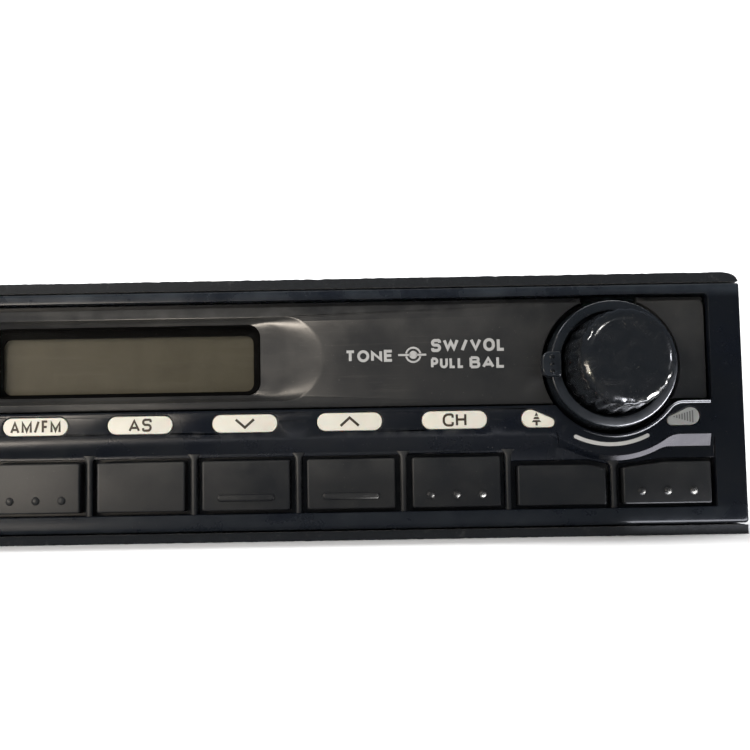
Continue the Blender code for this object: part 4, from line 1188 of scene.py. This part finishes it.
def reflector(name, place, facing, size, radiance, color, only=(), never=()):
    """A small panel that is only seen mirrored in gloss."""
    watts = radiance * math.pi * size[0] * size[1]
    lamp = soft_box(name, place, Vector(place) + Vector(facing), size, watts, color)
    lamp.visible_camera = False
    lamp.visible_diffuse = False
    if only or never:
        lights(lamp, only, never)


def bench(name, x, y, size, radiance, color, **who):
    """A reflector that lies on the bench before the radio and faces up."""
    just_above, up = 0.0004, (0.0, 0.0, 1.0)
    reflector(name, (x, y, just_above), up, size, radiance, color, **who)


def camera():
    """Close to the front, a little right of the middle, low and looking slightly up."""
    yaw, pitch, roll = -0.24, 4.94, -0.98
    ahead = Vector((sin(yaw) * cos(pitch), cos(yaw) * cos(pitch), sin(pitch)))
    right = Vector((cos(yaw), -sin(yaw), 0.0))
    up = right.cross(ahead)
    tilted_right = right * cos(roll) + up * sin(roll)
    tilted_up = up * cos(roll) - right * sin(roll)
    data = bpy.data.cameras.new("front_camera")
    data.lens = 57.6
    data.sensor_width = 36.0
    data.clip_start = 0.01
    obj = added("front_camera", data)
    turn = Matrix((tilted_right, tilted_up, -ahead)).transposed()
    spot = Vector((17.2 * MM, FRONT - 236.7 * MM, 12.0 * MM))
    obj.matrix_world = Matrix.Translation(spot) @ turn.to_4x4()
    bpy.context.scene.camera = obj


WARM, COOL, WHITE = (1.0, 0.89, 0.76), (0.92, 0.93, 1.0), (1.0, 0.98, 0.94)
RADIO = (0.0, -0.07, 0.03)

studio()
for lamp in (soft_box("warm_left", (-0.44, -0.60, 0.30), RADIO, (0.30, 0.35), 4.2, (1.0, 0.93, 0.84)),
             soft_box("overhead", (-0.05, -0.45, 0.85), RADIO, (0.30, 0.20), 2.2, (0.96, 0.98, 1.0))):
    lamp.visible_glossy = False
lights(soft_box("backdrop_light", (0.0, 0.45, 1.3), (0.0, 1.5, 0.2), (2.0, 0.6), 40.0), never=(KNOB,))
lights(soft_box("floor_light", (0.0, 0.5, 1.8), (0.0, 0.5, 0.0), (1.6, 1.0), 12.0), never=(KNOB,))

# Highlights, each one the mirrored picture of a panel.
for name, place, facing, size, radiance, color, who in (
        ("ceiling_glint", (-0.013, -0.51, 0.27), (0.08, 0.44, -0.24), (0.045, 0.045), 70.0, WHITE, KNOB),
        ("window_glint", (-0.26, -0.305, 0.334), (0.32, 0.24, -0.30), (0.05, 0.03), 70.0, WHITE, KNOB),
        ("side_glint", (0.30, -0.20, 0.05), (-0.25, 0.13, 0.0), (0.03, 0.02), 60.0, COOL, KNOB),
        ("upper_left", (-0.20, -0.20, 0.32), (0.26, 0.13, -0.29), (0.10, 0.10), 14.0, COOL, RING),
        ("high_bead", (0.12, -0.30, 0.36), (-0.05, 0.23, -0.33), (0.35, 0.30), 40.0, COOL, BEAD),
        ("scoop_high", (-0.29, -0.37, 0.35), (0.29, 0.30, -0.32), (0.10, 0.10), 38.0, WARM, FASCIA)):
    reflector(name, place, facing, size, radiance, color, only=(who,))
reflector("warm_mirror", (-0.44, -0.60, 0.30), (0.44, 0.53, -0.27), (0.15, 0.15), 22.0, WARM,
          never=(FASCIA, KNOB))
bench("warm_bench", -0.105, FRONT - 0.13, (0.08, 0.14), 16.0, WARM, never=(FASCIA,))
bench("bench_foot", 0.092, FRONT - 0.0035, (0.052, 0.005), 10.0, COOL)
for name, x, y, size, radiance, color, who in (
        ("bench_glint", -0.031, -0.169, (0.022, 0.026), 110.0, (1.0, 0.93, 0.70), (KNOB,)),
        ("bench_near", 0.064, -0.096, (0.004, 0.014), 60.0, COOL, (KNOB,)),
        ("bench_corner", 0.092, -0.081, (0.014, 0.014), 80.0, WHITE, (KNOB,)),
        ("bench_edge", 0.137, -0.078, (0.022, 0.012), 80.0, WHITE, (KNOB,)),
        ("bench_ring", 0.135, FRONT - 0.060, (0.12, 0.06), 60.0, COOL, (RING, BEAD)),
        ("bench_front", -0.010, FRONT - 0.070, (0.150, 0.016), 3.5, COOL, (FRAME,)),
        ("bench_right", 0.096, FRONT - 0.015, (0.062, 0.022), 8.5, (0.93, 0.90, 1.0), (SHEEN,)),
        ("scoop_low", -0.037, FRONT - 0.045, (0.034, 0.034), 42.0, WARM, (FASCIA,)),
        ("bench_bars", 0.020, FRONT - 0.007, (0.008, 0.005), 30.0, WHITE,
         MARKS["key_down"] + MARKS["key_up"]),
        ("bench_marks", 0.046, FRONT - 0.007, (0.022, 0.008), 60.0, WHITE, MARKS["key_6"]),
        ("bench_dome", 0.092, FRONT - 0.007, (0.030, 0.008), 90.0, WHITE, MARKS["key_8"])):
    bench(name, x, y, size, radiance, color, only=who)
camera()

bpy.context.scene.view_settings.view_transform = "Standard"
